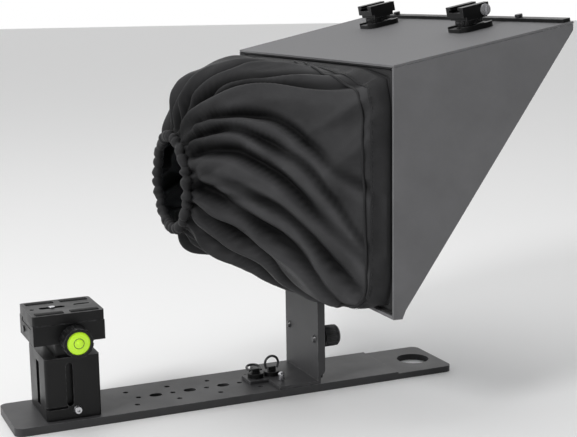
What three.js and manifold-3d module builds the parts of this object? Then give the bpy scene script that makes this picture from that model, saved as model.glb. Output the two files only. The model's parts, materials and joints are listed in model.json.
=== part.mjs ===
// Camera teleprompter on a flat base plate: camera riser with a quick-release clamp at one end,
// an upright bracket with a height-adjustable hood, beam-splitter glass and a cloth shroud at the other.
// Millimetres, +Z up, +X towards the presenter. The origin is on the base plate's underside, midway across,
// 228.5 mm from its rear end.
import * as THREE from 'three';
import { mergeVertices } from 'three/addons/utils/BufferGeometryUtils.js';
import Module from 'manifold-3d';

const wasm = await Module();
wasm.setup();

// ---- Driving dimensions ----
const GAP = 0.3;                       // clearance left between pieces that touch
const ROUND = 24;                      // sides of a turned piece
const BASE = { rear: -228.5, front: 231.5, width: 80, thick: 8, corner: 8 };
const STEP = { x: 167, drop: 1.6 };    // the front end is milled a little thinner
const CABLE_HOLE = { x: 206, r: 17 };  // large round hole near the front end
const SLOT = { first: -82.4, pitch: 35.4, r: 4.75, half: 1.6, count: 4 };
const MID_HOLE = { first: -100.1, count: 5, r: 2.75 };
const SIDE_HOLE = { first: -107.2, pitch: 42.8, y: 20.3, count: 5, r: 2.75 };
const RISER = { x: -172, lenX: 52, lenY: 68, height: 60, wallX: 12, wallY: 6, floor: 5 };
const COLUMN = { lenX: 27.4, lenY: 55.4 };
const CLAMP = { lenX: 67.5, lenY: 58, bottom: 80, height: 18.5, jaw: 13 };
const PLATE = { lenX: 67.5, lenY: 58, neck: 34, foot: 40, lower: 4.4, upper: 5.3 };
const KNOB = { x: -168, z: 83.4, r: 14, length: 17, stud: 2.4, standoff: 1.5, cup: 7, wall: 3, grips: 14 };
const UPRIGHT = { x: 75.5, sheet: 3, width: 80, height: 84, flange: 8, footFront: 33.5, tongue: 13 };
const MAST = { thick: 3.4, halfWidth: 36.4, bottom: 13, top: 106.7, shelf: 11, boltX: 88.8, boltY: 22,
  boltR: 2.1 };
const GUIDE = { y: 31.5, z: 53, r: 2.2, slotLow: 20 };
const LOCK = { z: 44.7, r: 10.9, from: 99.5, to: 115.6, stud: 3, skin: 1 };
const HOOD = { rearX: 84.8, rearHalf: 181.4, topZ: 333.1, bottomZ: 107, frontX: 258.1, frontHalf: 199.1,
  frontZ: 367, sheet: 2, toe: 9 };
const GLASS = { thick: 3, rail: 12, railThick: 3 };
const SHOE = { x: 215.8, y: 94, scale: 1.08 };
const CUFF = { x: -59, z: 218, r: 44, tube: 6 };
const CLOTH = 4;                       // thickness given to the gathered cloth as a closed solid

const MATERIALS = {
  anodised: { color: 0x3a3a3c, roughness: 0.45, metalness: 0.6 },
  blackMetal: { color: 0x1b1b1d, roughness: 0.4, metalness: 0.6 },
  powderCoat: { color: 0x5a5a5c, roughness: 0.6, metalness: 0.2 },
  steel: { color: 0xc8c8cc, roughness: 0.25, metalness: 1.0 },
  darkSteel: { color: 0x242426, roughness: 0.35, metalness: 0.9 },
  rubber: { color: 0x111111, roughness: 0.9, metalness: 0.0 },
  level: { color: 0xb8ee3a, roughness: 0.15, metalness: 0.0 },
  glass: { color: 0xc8d6dc, roughness: 0.05, metalness: 0.1 },
  cloth: { color: 0x161617, roughness: 0.85, metalness: 0.0 },
  hook: { color: 0x0c0c0c, roughness: 0.95, metalness: 0.0 },
};

// ---- Geometry helpers ----
function toSolid(geometry) {
  const plain = geometry.clone();
  plain.deleteAttribute('normal');
  plain.deleteAttribute('uv');
  const merged = mergeVertices(plain, 1e-4);
  return new wasm.Manifold(new wasm.Mesh({
    numProp: 3,
    vertProperties: new Float32Array(merged.attributes.position.array),
    triVerts: new Uint32Array(merged.index.array),
  }));
}

function fromSolid(solid) {
  const mesh = solid.getMesh();
  const geometry = new THREE.BufferGeometry();
  geometry.setAttribute('position', new THREE.BufferAttribute(new Float32Array(mesh.vertProperties), 3));
  geometry.setIndex(new THREE.BufferAttribute(new Uint32Array(mesh.triVerts), 1));
  return geometry;
}

function join(...geometries) {
  return fromSolid(geometries.map(toSolid).reduce((sum, solid) => sum.add(solid)));
}

function cut(body, ...tools) {
  return fromSolid(tools.map(toSolid).reduce((rest, solid) => rest.subtract(solid), toSolid(body)));
}

function box(x0, x1, y0, y1, z0, z1) {
  const geometry = new THREE.BoxGeometry(x1 - x0, y1 - y0, z1 - z0);
  geometry.translate((x0 + x1) / 2, (y0 + y1) / 2, (z0 + z1) / 2);
  return geometry;
}

// A rod or disc along 'x', 'y' or 'z' from one coordinate to another; at holds the other two coordinates.
function rod(axis, from, to, r, at, sides = ROUND, rTop = r) {
  const geometry = new THREE.CylinderGeometry(rTop, r, to - from, sides);
  geometry.translate(0, (from + to) / 2, 0);
  if (axis === 'x') {
    geometry.rotateZ(-Math.PI / 2);
    geometry.translate(0, at[0], at[1]);
  } else if (axis === 'y') {
    geometry.translate(at[0], 0, at[1]);
  } else {
    geometry.rotateX(Math.PI / 2);
    geometry.translate(at[0], at[1], 0);
  }
  return geometry;
}

function roundedRect(width, height, r) {
  const shape = new THREE.Shape();
  const w = width / 2;
  const h = height / 2;
  shape.absarc(w - r, -h + r, r, -Math.PI / 2, 0, false);
  shape.absarc(w - r, h - r, r, 0, Math.PI / 2, false);
  shape.absarc(-w + r, h - r, r, Math.PI / 2, Math.PI, false);
  shape.absarc(-w + r, -h + r, r, Math.PI, Math.PI * 1.5, false);
  return shape;
}

function extrude(shape, depth, curveSegments = 6) {
  return new THREE.ExtrudeGeometry(shape, { depth, bevelEnabled: false, curveSegments });
}

// A slot with round ends along x or y, standing from z0 to z1.
function slotTool(x, y, r, half, z0, z1, alongY = false) {
  const shape = new THREE.Shape();
  shape.absarc(half, 0, r, -Math.PI / 2, Math.PI / 2, false);
  shape.absarc(-half, 0, r, Math.PI / 2, Math.PI * 1.5, false);
  const geometry = extrude(shape, z1 - z0, 8);
  if (alongY) {
    geometry.rotateZ(Math.PI / 2);
  }
  geometry.translate(x, y, z0);
  return geometry;
}

// A closed solid between two matching outlines, each a list of 3-D points in the same order.
function slab(lower, upper) {
  const count = lower.length;
  const points = [...lower, ...upper].map((p) => new THREE.Vector3(...p));
  const index = [];
  for (let i = 1; i < count - 1; i += 1) {
    index.push(0, i + 1, i, count, count + i, count + i + 1);
  }
  for (let i = 0; i < count; i += 1) {
    const next = (i + 1) % count;
    index.push(i, next, count + next, i, count + next, count + i);
  }
  const geometry = new THREE.BufferGeometry().setFromPoints(points);
  geometry.setIndex(index);
  return outward(geometry);
}

function outward(geometry) {
  const p = geometry.attributes.position;
  const idx = geometry.index.array;
  const a = new THREE.Vector3();
  const b = new THREE.Vector3();
  const c = new THREE.Vector3();
  let volume = 0;
  for (let i = 0; i < idx.length; i += 3) {
    a.fromBufferAttribute(p, idx[i]);
    b.fromBufferAttribute(p, idx[i + 1]);
    c.fromBufferAttribute(p, idx[i + 2]);
    volume += a.dot(b.cross(c));
  }
  if (volume < 0) {
    for (let i = 0; i < idx.length; i += 3) {
      [idx[i + 1], idx[i + 2]] = [idx[i + 2], idx[i + 1]];
    }
  }
  return geometry;
}

const root = new THREE.Group();

function add(parent, name, geometry, material) {
  const mesh = new THREE.Mesh(geometry, new THREE.MeshStandardMaterial(MATERIALS[material]));
  mesh.name = name;
  parent.add(mesh);
  return mesh;
}

function groupAt(parent, x, y, z) {
  const group = new THREE.Group();
  group.position.set(x, y, z);
  parent.add(group);
  return group;
}

const range = (count) => Array.from({ length: count }, (unused, i) => i);

// ---- Base plate ----
const FOOT_SCREWS = { rear: 23.8, middle: 41.5 };
const FOOT_PIN = { at: [43.5, -20], r: 3.3, high: 6.5 };
const RISER_BOLT = { spread: 20, shank: 3, head: 5, headDepth: 5, reach: 14 };

function basePlate() {
  const plate = extrude(roundedRect(BASE.front - BASE.rear, BASE.width, BASE.corner), BASE.thick);
  plate.translate((BASE.front + BASE.rear) / 2, 0, 0);
  const through = [-1, BASE.thick + 1];
  const tools = [rod('z', ...through, CABLE_HOLE.r, [CABLE_HOLE.x, 0], 48)];
  tools.push(box(STEP.x, BASE.front + 1, -BASE.width, BASE.width, BASE.thick - STEP.drop, BASE.thick + 1));
  for (const i of range(SLOT.count)) {
    tools.push(slotTool(SLOT.first + i * SLOT.pitch, 0, SLOT.r, SLOT.half, ...through));
  }
  for (const i of range(MID_HOLE.count)) {
    tools.push(rod('z', ...through, MID_HOLE.r, [MID_HOLE.first + i * SLOT.pitch, 0], 12));
  }
  for (const i of range(SIDE_HOLE.count)) {
    for (const side of [-1, 1]) {
      tools.push(rod('z', ...through, SIDE_HOLE.r, [SIDE_HOLE.first + i * SIDE_HOLE.pitch,
        side * SIDE_HOLE.y], 12));
    }
  }
  for (const side of [-1, 1]) {
    const at = [RISER.x + side * RISER_BOLT.spread, 0];
    tools.push(rod('z', ...through, RISER_BOLT.shank + GAP, at, 12));
    tools.push(rod('z', -1, RISER_BOLT.headDepth + GAP, RISER_BOLT.head + GAP, at, 12));
  }
  tools.push(rod('z', ...through, 1.8, FOOT_PIN.at, 12));
  add(root, 'base_plate', cut(plate, ...tools), 'anodised');
}

// ---- Camera riser: housing, sliding column, lock screw and the bolts from below ----
const riser = groupAt(root, RISER.x, 0, BASE.thick);
const LIFT_STOP = 0.5;                 // the column rests this far above the housing's floor
const LOCK_SCREW = { x: 3.4, z: 8.5, r: 4.4, taper: 1.2, head: 3, shank: 2.4, socket: 1.7 };
const SIGHT_SLOT = { x: -3.2, r: 3.2, low: 16, high: 51.5 };
const RECESS = { depth: 2.5, y0: -9, y1: 3, low: 9, high: 52 };     // pockets in the two end faces
const GROOVE = { to: -5.5, depth: 2.5, low: 11, high: 13.5 };        // across the foot of the front face

function riserHousing() {
  const outer = extrude(roundedRect(RISER.lenX, RISER.lenY, 3), RISER.height - GAP, 3);
  outer.translate(0, 0, GAP);
  const pocketX = RISER.lenX / 2 - RISER.wallX;
  const pocketY = RISER.lenY / 2 - RISER.wallY;
  const tools = [box(-pocketX, pocketX, -pocketY, pocketY, RISER.floor, RISER.height + 1)];
  // Slot down the front face, through which the column is seen.
  const slot = slotTool(0, 0, SIGHT_SLOT.r, (SIGHT_SLOT.high - SIGHT_SLOT.low) / 2, pocketY - 1,
    RISER.lenY / 2 + 1);
  slot.rotateZ(Math.PI / 2);
  slot.rotateX(Math.PI / 2);
  slot.translate(SIGHT_SLOT.x, 0, (SIGHT_SLOT.high + SIGHT_SLOT.low) / 2);
  tools.push(slot);
  tools.push(rod('y', -RISER.lenY / 2 - 1, -pocketY + 1, LOCK_SCREW.shank + GAP,
    [LOCK_SCREW.x, LOCK_SCREW.z], 16));
  for (const side of [-1, 1]) {
    tools.push(box(side * RISER.lenX / 2 - RECESS.depth, side * RISER.lenX / 2 + RECESS.depth, RECESS.y0,
      RECESS.y1, RECESS.low, RECESS.high));
    tools.push(rod('z', -1, RISER_BOLT.reach + 1, RISER_BOLT.shank + GAP, [side * RISER_BOLT.spread, 0], 12));
  }
  const front = -RISER.lenY / 2;
  tools.push(box(-RISER.lenX / 2 - 1, GROOVE.to, front - 1, front + GROOVE.depth, GROOVE.low, GROOVE.high));
  add(riser, 'riser_housing', cut(outer, ...tools), 'blackMetal');
}

function riserColumn() {
  const bottom = RISER.floor + LIFT_STOP;
  const top = CLAMP.bottom - BASE.thick - GAP;
  const post = extrude(roundedRect(COLUMN.lenX, COLUMN.lenY, 2), top - bottom, 2);
  post.translate(0, 0, bottom);
  add(riser, 'riser_column', post, 'blackMetal');
}

function riserScrews() {
  const front = -RISER.lenY / 2;
  const lock = LOCK_SCREW;
  const head = rod('y', front - lock.head, front - GAP, lock.r - lock.taper, [lock.x, lock.z], ROUND, lock.r);
  const shank = rod('y', front - 1, front + RISER.wallY - GAP, lock.shank, [lock.x, lock.z], 16);
  const socket = rod('y', front - lock.head - 1, front - lock.head / 2, lock.socket, [lock.x, lock.z], 6);
  add(riser, 'riser_lock_screw', cut(join(head, shank), socket), 'steel');
  for (const side of [-1, 1]) {
    const at = [side * RISER_BOLT.spread, 0];
    const top = -BASE.thick + RISER_BOLT.headDepth;
    const bolt = join(
      rod('z', -BASE.thick + 0.6, top, RISER_BOLT.head, at, 12),
      rod('z', top - 1, RISER_BOLT.reach, RISER_BOLT.shank, at, 12),
    );
    const hex = rod('z', -BASE.thick - 1, -BASE.thick + 3, 2, at, 6);
    add(riser, side < 0 ? 'riser_bolt_rear' : 'riser_bolt_front', cut(bolt, hex), 'darkSteel');
  }
}

// ---- Quick-release clamp on the column, with the camera plate ----
const clamp = groupAt(root, RISER.x, 0, CLAMP.bottom);
const DOVETAIL = { top: PLATE.foot / 2, mouth: PLATE.neck / 2 };
const JAW_FACE = -CLAMP.lenY / 2 + CLAMP.jaw;

// Cross-section of the rail under the camera plate, wider at its foot than at its neck.
function dovetail(grow, y0, y1) {
  const shape = new THREE.Shape();
  shape.moveTo(-DOVETAIL.mouth - grow, y1);
  shape.lineTo(-DOVETAIL.top - grow, y0 + 1);
  shape.lineTo(-DOVETAIL.top - grow, y0);
  shape.lineTo(DOVETAIL.top + grow, y0);
  shape.lineTo(DOVETAIL.top + grow, y0 + 1);
  shape.lineTo(DOVETAIL.mouth + grow, y1);
  shape.closePath();
  return shape;
}

function alongX(shape, length) {
  const geometry = extrude(shape, length);
  geometry.translate(0, 0, -length / 2);
  geometry.rotateX(Math.PI / 2);
  geometry.rotateZ(Math.PI / 2);
  return geometry;
}

const SEAT = CLAMP.height - PLATE.lower;   // height of the clamp's flat seat above its underside
const TONGUE = { x0: -18, x1: 26, reach: 8, under: 3 };  // the jaw slides with a tongue inside the body
const STOP = { y: 12, z: 8, r: 2.4, head: 3.2, depth: 7 };

function clampBody() {
  const block = box(-CLAMP.lenX / 2, CLAMP.lenX / 2, JAW_FACE + GAP, CLAMP.lenY / 2, 0, CLAMP.height);
  const rail = alongX(dovetail(GAP, SEAT, CLAMP.height + 0.01), CLAMP.lenX + 2);
  const mouth = box(-CLAMP.lenX, CLAMP.lenX, -DOVETAIL.mouth - GAP, DOVETAIL.mouth + GAP, CLAMP.height - 0.5,
    CLAMP.height + 1);
  const tongue = box(TONGUE.x0, TONGUE.x1, -DOVETAIL.top - 1, JAW_FACE + TONGUE.reach, -1, SEAT - TONGUE.under);
  const stopHole = rod('x', -CLAMP.lenX / 2 - 1, -CLAMP.lenX / 2 + STOP.depth + 2, STOP.r + GAP,
    [STOP.y, STOP.z], 12);
  const studBore = rod('y', JAW_FACE - 5, JAW_FACE + 26, KNOB.stud + GAP,
    [KNOB.x - RISER.x, KNOB.z - CLAMP.bottom], 16);
  add(clamp, 'clamp_body', cut(block, rail, mouth, tongue, stopHole, studBore), 'blackMetal');
}

function clampJaw() {
  const block = box(-CLAMP.lenX / 2, CLAMP.lenX / 2, -CLAMP.lenY / 2, JAW_FACE, 0, CLAMP.height);
  const lug = box(TONGUE.x0 + 1, TONGUE.x1 - 1, JAW_FACE - 1, JAW_FACE + TONGUE.reach - 4.5, GAP,
    SEAT - TONGUE.under - 2 * GAP);
  const rail = alongX(dovetail(GAP, SEAT, CLAMP.height + 0.01), CLAMP.lenX + 2);
  const mouth = box(-CLAMP.lenX, CLAMP.lenX, -DOVETAIL.mouth - GAP, DOVETAIL.mouth + GAP, CLAMP.height - 0.5,
    CLAMP.height + 1);
  const studBore = rod('y', -CLAMP.lenY, CLAMP.lenY, KNOB.stud + GAP,
    [KNOB.x - RISER.x, KNOB.z - CLAMP.bottom], 16);
  add(clamp, 'clamp_jaw', cut(join(block, lug), rail, mouth, studBore), 'blackMetal');
}

function clampKnob() {
  const at = [KNOB.x - RISER.x, KNOB.z - CLAMP.bottom];
  const inner = -CLAMP.lenY / 2 - KNOB.standoff;
  const outer = inner - KNOB.length;
  const body = rod('y', outer, inner, KNOB.r, at, 28);
  const cup = rod('y', outer - 1, outer + KNOB.cup, KNOB.r - KNOB.wall, at, 28);
  const grips = range(KNOB.grips).map((i) => {
    const turn = (i / KNOB.grips) * Math.PI * 2;
    const spot = [at[0] + Math.cos(turn) * (KNOB.r + 0.7), at[1] + Math.sin(turn) * (KNOB.r + 0.7)];
    return rod('y', outer - 1, inner + 1, 1.5, spot, 8);
  });
  const collar = rod('y', inner - 1, inner + KNOB.standoff - GAP, KNOB.stud + 1.8, at, 16);
  const stud = rod('y', inner - 1, JAW_FACE + 22, KNOB.stud, at, 16);
  add(clamp, 'clamp_knob', cut(join(body, collar, stud), cup, ...grips), 'blackMetal');
  const vial = rod('y', outer + 0.6, outer + KNOB.cup - GAP, KNOB.r - KNOB.wall - GAP, at, 28);
  add(clamp, 'bubble_level', vial, 'level');
}

const STRIP = { length: 27, width: 8, recess: 0.9, proud: 0.5, x: 16.5, y: 21.5 };
const CAMERA_SCREW = { x: -9, r: 3.1, head: 7.2, headHigh: 1.6, proud: 1, slotHalf: 9, driver: 0.8 };
const PIN_SLOT = { x: 20, y: 3, r: 1.8, half: 6 };
const PIN_HOLE = { at: [-28, -1], r: 2.2 };

function cameraPlate() {
  const plate = groupAt(clamp, 0, 0, 0);
  const bottom = CLAMP.height + GAP;
  const top = CLAMP.height + PLATE.lower + PLATE.upper;
  const board = extrude(roundedRect(PLATE.lenX, PLATE.lenY, 3), top - bottom, 2);
  board.translate(0, 0, bottom);
  const neckHalf = DOVETAIL.mouth - GAP / 2;
  const rail = join(
    alongX(dovetail(-GAP / 2, SEAT + GAP, CLAMP.height), PLATE.lenX - 1),
    box(-PLATE.lenX / 2 + 0.5, PLATE.lenX / 2 - 0.5, -neckHalf, neckHalf, CLAMP.height - 1, bottom + 1),
  );
  const tools = [];
  for (const x of [-STRIP.x, STRIP.x]) {
    for (const y of [-STRIP.y, STRIP.y]) {
      tools.push(box(x - STRIP.length / 2, x + STRIP.length / 2, y - STRIP.width / 2, y + STRIP.width / 2,
        top - STRIP.recess, top + 1));
    }
  }
  const slotFrom = bottom - PLATE.lower - 2;
  const screw = CAMERA_SCREW;
  tools.push(slotTool(screw.x, 0, screw.r + GAP, screw.slotHalf, slotFrom, top + 1));
  tools.push(slotTool(screw.x, 0, screw.head + GAP, screw.slotHalf, slotFrom, bottom + screw.headHigh));
  tools.push(slotTool(PIN_SLOT.x, PIN_SLOT.y, PIN_SLOT.r, PIN_SLOT.half, slotFrom, top + 1));
  tools.push(rod('z', slotFrom, top + 1, PIN_HOLE.r, PIN_HOLE.at, 12));
  add(plate, 'quick_release_plate', cut(join(board, rail), ...tools), 'blackMetal');
  let number = 1;
  for (const x of [-STRIP.x, STRIP.x]) {
    for (const y of [-STRIP.y, STRIP.y]) {
      const strip = box(x - STRIP.length / 2 + GAP, x + STRIP.length / 2 - GAP, y - STRIP.width / 2 + GAP,
        y + STRIP.width / 2 - GAP, top - STRIP.recess + GAP, top + STRIP.proud);
      add(plate, `rubber_strip_${number}`, strip, 'rubber');
      number += 1;
    }
  }
  const underside = SEAT + 4 * GAP;
  const head = rod('z', underside, bottom + screw.headHigh - GAP, screw.head, [screw.x, 0]);
  const shank = rod('z', underside + 1, top + screw.proud, screw.r, [screw.x, 0], 16);
  const driver = box(screw.x - screw.head + 1, screw.x + screw.head - 1, -screw.driver, screw.driver, SEAT,
    underside + 1.2);
  add(plate, 'camera_screw', cut(join(head, shank), driver), 'steel');
  const stop = join(
    rod('x', -CLAMP.lenX / 2 - 1.2, -CLAMP.lenX / 2 - GAP, STOP.head, [STOP.y, STOP.z], 12),
    rod('x', -CLAMP.lenX / 2 - 0.5, -CLAMP.lenX / 2 + STOP.depth, STOP.r, [STOP.y, STOP.z], 12),
  );
  add(clamp, 'plate_stop_screw', stop, 'darkSteel');
}

// ---- Upright bracket, sliding mast, lock knob and foot screws ----
const UPRIGHT_Z = BASE.thick + GAP;
const upright = groupAt(root, UPRIGHT.x, 0, UPRIGHT_Z);

// Local x runs from the bracket's web; local z from its underside.
function uprightBracket() {
  const half = UPRIGHT.width / 2;
  const t = UPRIGHT.sheet;
  const web = box(0, t, -half, half, 0, UPRIGHT.height);
  const foot = box(UPRIGHT.footFront - UPRIGHT.x, t, -half, half, 0, t);
  const tongueFrom = UPRIGHT.tongue - UPRIGHT.x;
  const tongue = box(tongueFrom, UPRIGHT.footFront - UPRIGHT.x + 1, -12, 12, 0, t);
  const parts = [web, foot, tongue];
  for (const side of [-1, 1]) {
    const shape = new THREE.Shape();
    shape.moveTo(1, 14);
    shape.absarc(UPRIGHT.flange - 6, 14, 6, -Math.PI / 2, 0, false);
    shape.lineTo(UPRIGHT.flange, UPRIGHT.height);
    shape.lineTo(1, UPRIGHT.height);
    shape.closePath();
    const flange = extrude(shape, t, 6);
    flange.rotateX(Math.PI / 2);
    flange.translate(0, side > 0 ? half : -half + t, 0);
    parts.push(flange);
  }
  const screwX = [FOOT_SCREWS.rear, FOOT_SCREWS.middle].map((x) => x - UPRIGHT.x);
  const tools = screwX.map((x) => rod('z', -1, t + 1, 3.2 + GAP, [x, 0], 16));
  for (const side of [-1, 1]) {
    tools.push(rod('x', -1, t + 1, GUIDE.r + GAP, [side * GUIDE.y, GUIDE.z - UPRIGHT_Z], 12));
  }
  tools.push(rod('z', -1, t + 1, 1.8, [FOOT_PIN.at[0] - UPRIGHT.x, FOOT_PIN.at[1]], 12));
  tools.push(rod('x', LOCK.skin, t + 1, LOCK.stud + GAP, [0, LOCK.z - UPRIGHT_Z], 16));
  add(upright, 'upright_bracket', cut(join(...parts), ...tools), 'anodised');
}

const MAST_X = UPRIGHT.x + UPRIGHT.sheet + GAP;

function hoodMast() {
  const x1 = MAST_X + MAST.thick;
  const sheet = box(MAST_X, x1, -MAST.halfWidth, MAST.halfWidth, MAST.bottom, MAST.top);
  const shelf = box(MAST_X, x1 + MAST.shelf, -MAST.halfWidth, MAST.halfWidth, MAST.top - MAST.thick, MAST.top);
  const tools = [];
  const verticalSlot = (y, r, z0, z1) => join(
    box(MAST_X - 1, x1 + 1, y - r, y + r, z0, z1),
    rod('x', MAST_X - 1, x1 + 1, r, [y, z1], 16),
  );
  for (const side of [-1, 1]) {
    tools.push(join(verticalSlot(side * GUIDE.y, GUIDE.r + 0.5, GUIDE.slotLow, GUIDE.z),
      rod('x', MAST_X - 1, x1 + 1, GUIDE.r + 0.5, [side * GUIDE.y, GUIDE.slotLow], 16)));
    tools.push(rod('z', MAST.top - 9, MAST.top + 1, MAST.boltR + GAP, [MAST.boltX, side * MAST.boltY], 12));
  }
  tools.push(verticalSlot(0, LOCK.stud + 0.5, MAST.bottom - 1, LOCK.z));
  add(root, 'hood_mast', cut(join(sheet, shelf), ...tools), 'blackMetal');
}

function mastHardware() {
  const webFront = UPRIGHT.x;
  const mastBack = MAST_X + MAST.thick;
  const lockAt = [0, LOCK.z];
  const knob = join(
    rod('x', LOCK.from, LOCK.to - 1.8, LOCK.r, lockAt, 36),
    rod('x', LOCK.to - 1.81, LOCK.to, LOCK.r, lockAt, 36, LOCK.r - 1.6),
    rod('x', mastBack + GAP, LOCK.from + 1, 6.5, lockAt, 16),
    rod('x', webFront + LOCK.skin + GAP, mastBack + 1, LOCK.stud, lockAt, 16),
  );
  const ribs = range(12).map((i) => {
    const turn = (i / 12) * Math.PI * 2;
    return rod('x', LOCK.from - 1, LOCK.to - 3, 1.2, [Math.cos(turn) * (LOCK.r + 0.5),
      LOCK.z + Math.sin(turn) * (LOCK.r + 0.5)], 6);
  });
  add(root, 'mast_lock_knob', cut(knob, ...ribs), 'anodised');
  for (const side of [-1, 1]) {
    const at = [side * GUIDE.y, GUIDE.z];
    const screw = join(
      rod('x', webFront - 2.2, webFront - GAP, 2.6, at, 16, 4.2),
      rod('x', webFront - 1, mastBack + 3.2, GUIDE.r, at, 12),
      rod('x', mastBack + GAP, mastBack + 3, 4.2, at, 6),
    );
    add(root, side < 0 ? 'guide_screw_right' : 'guide_screw_left', screw, 'darkSteel');
    const shelfUnder = MAST.top - MAST.thick;
    const bolt = join(
      rod('z', shelfUnder - 2.6, shelfUnder - GAP, 4, [MAST.boltX, side * MAST.boltY], 12),
      rod('z', shelfUnder - 1, HOOD.bottomZ + 2.5, MAST.boltR, [MAST.boltX, side * MAST.boltY], 12),
    );
    add(root, side < 0 ? 'mast_bolt_right' : 'mast_bolt_left', bolt, 'darkSteel');
  }
}

const FOOT_TOP = UPRIGHT_Z + UPRIGHT.sheet;
const RING = { wire: 1.3, radius: 7.2, straight: 5.5, leg: 6, head: 8.2, headHigh: 4.5, pin: 2.4,
  folded: 0.2 };                       // the rear ring lies almost flat, this many radians up

// A D-ring: a half circle on two straight legs that meet a cross pin, standing in the xz plane at the origin.
function ringGeometry() {
  const path = new THREE.CurvePath();
  const points = [];
  const steps = 14;
  for (const i of range(steps + 1)) {
    const turn = Math.PI * (i / steps);
    points.push(new THREE.Vector3(RING.radius * Math.cos(turn), 0,
      RING.straight + RING.radius * Math.sin(turn)));
  }
  points.unshift(new THREE.Vector3(RING.leg, 0, 0));
  points.push(new THREE.Vector3(-RING.leg, 0, 0));
  const curve = new THREE.CatmullRomCurve3(points);
  const section = new THREE.Shape();
  section.absarc(0, 0, RING.wire, 0, Math.PI * 2, false);
  return new THREE.ExtrudeGeometry(section, { steps: 22, extrudePath: curve, curveSegments: 4 });
}

function footScrews() {
  const postHalf = RING.leg - RING.wire - 2 * GAP;
  for (const [name, x] of [['rear', FOOT_SCREWS.rear], ['middle', FOOT_SCREWS.middle]]) {
    const group = groupAt(root, x, 0, FOOT_TOP + GAP);
    const pinHeight = RING.headHigh + RING.pin;
    const screw = join(
      rod('z', 0, RING.headHigh, RING.head, [0, 0]),
      box(-postHalf, postHalf, -1.6, 1.6, RING.headHigh - 1, pinHeight + 2),
      rod('z', -FOOT_TOP - GAP + 1, 1, 2.4, [0, 0], 12),
    );
    add(group, `foot_screw_${name}`, screw, 'blackMetal');
    const ring = ringGeometry();
    if (name === 'rear') {
      ring.rotateX(RING.folded - Math.PI / 2);
    }
    ring.translate(0, 0, pinHeight);
    add(group, `foot_ring_${name}`, ring, 'darkSteel');
  }
  const pin = join(
    rod('z', FOOT_TOP + GAP, FOOT_TOP + FOOT_PIN.high, FOOT_PIN.r, FOOT_PIN.at, 20),
    rod('z', FOOT_TOP + FOOT_PIN.high - 0.5, FOOT_TOP + FOOT_PIN.high + 1.6, FOOT_PIN.r, FOOT_PIN.at, 20,
      FOOT_PIN.r - 1.4),
    rod('z', 1, FOOT_TOP + 1, 1.5, FOOT_PIN.at, 12),
  );
  add(root, 'foot_pin', pin, 'steel');
}

// ---- Hood: sheet panels that flare and rise towards the front ----
const FLARE = (HOOD.frontHalf - HOOD.rearHalf) / (HOOD.frontX - HOOD.rearX);
const RISE = (HOOD.frontZ - HOOD.topZ) / (HOOD.frontX - HOOD.rearX);
const ROOF_TILT = Math.atan(RISE);
const EDGE = { lowX: 97, lowZ: 115, highZ: 359 };   // the sloping open face, in side view

const outerHalf = (x) => HOOD.rearHalf + (x - HOOD.rearX) * FLARE;
const innerHalf = (x) => outerHalf(x) - HOOD.sheet - 0.05;

const roof = groupAt(root, HOOD.rearX, 0, HOOD.topZ);
roof.rotation.y = -ROOF_TILT;
const ROOF_LENGTH = (HOOD.frontX - HOOD.rearX) / Math.cos(ROOF_TILT);
const BAR = { back: 9, width: 8, high: 3.2, screwY: 121, screw: 2.2, head: 3.7, headHigh: 2.8 };
const SHOE_X = (SHOE.x - HOOD.rearX) / Math.cos(ROOF_TILT);

function hoodPanels() {
  const outline = (z) => [[0, -HOOD.rearHalf, z], [ROOF_LENGTH, -HOOD.frontHalf, z],
    [ROOF_LENGTH, HOOD.frontHalf, z], [0, HOOD.rearHalf, z]];
  const holes = [];
  for (const side of [-1, 1]) {
    holes.push(rod('z', -5, 5, BAR.screw + GAP,
      [ROOF_LENGTH - BAR.back + BAR.width / 2, side * BAR.screwY], 12));
    holes.push(rod('z', -5, 5, 2.5 + GAP, [SHOE_X, side * SHOE.y], 12));
  }
  add(roof, 'hood_top_panel', cut(slab(outline(-HOOD.sheet), outline(0)), ...holes), 'powderCoat');
  const drop = HOOD.sheet / Math.cos(ROOF_TILT) + GAP;
  for (const side of [-1, 1]) {
    const profile = [[HOOD.rearX, HOOD.topZ - drop], [HOOD.frontX, HOOD.frontZ - drop],
      [HOOD.frontX, EDGE.highZ], [EDGE.lowX, EDGE.lowZ], [HOOD.rearX + HOOD.toe, HOOD.bottomZ],
      [HOOD.rearX, HOOD.bottomZ]];
    const outer = profile.map(([x, z]) => [x, side * outerHalf(x), z]);
    const inner = profile.map(([x, z]) => [x, side * innerHalf(x), z]);
    add(root, side < 0 ? 'hood_side_right' : 'hood_side_left', slab(inner, outer), 'powderCoat');
  }
  const railHalf = innerHalf(HOOD.rearX) - GAP;
  const rail = box(HOOD.rearX, HOOD.rearX + HOOD.toe - 1, -railHalf, railHalf, HOOD.bottomZ, HOOD.bottomZ + 3);
  const boltHoles = [-1, 1].map((side) => rod('z', HOOD.bottomZ - 1, HOOD.bottomZ + 4, MAST.boltR + GAP,
    [MAST.boltX, side * MAST.boltY], 12));
  add(root, 'hood_bottom_rail', cut(rail, ...boltHoles), 'powderCoat');
}

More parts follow.
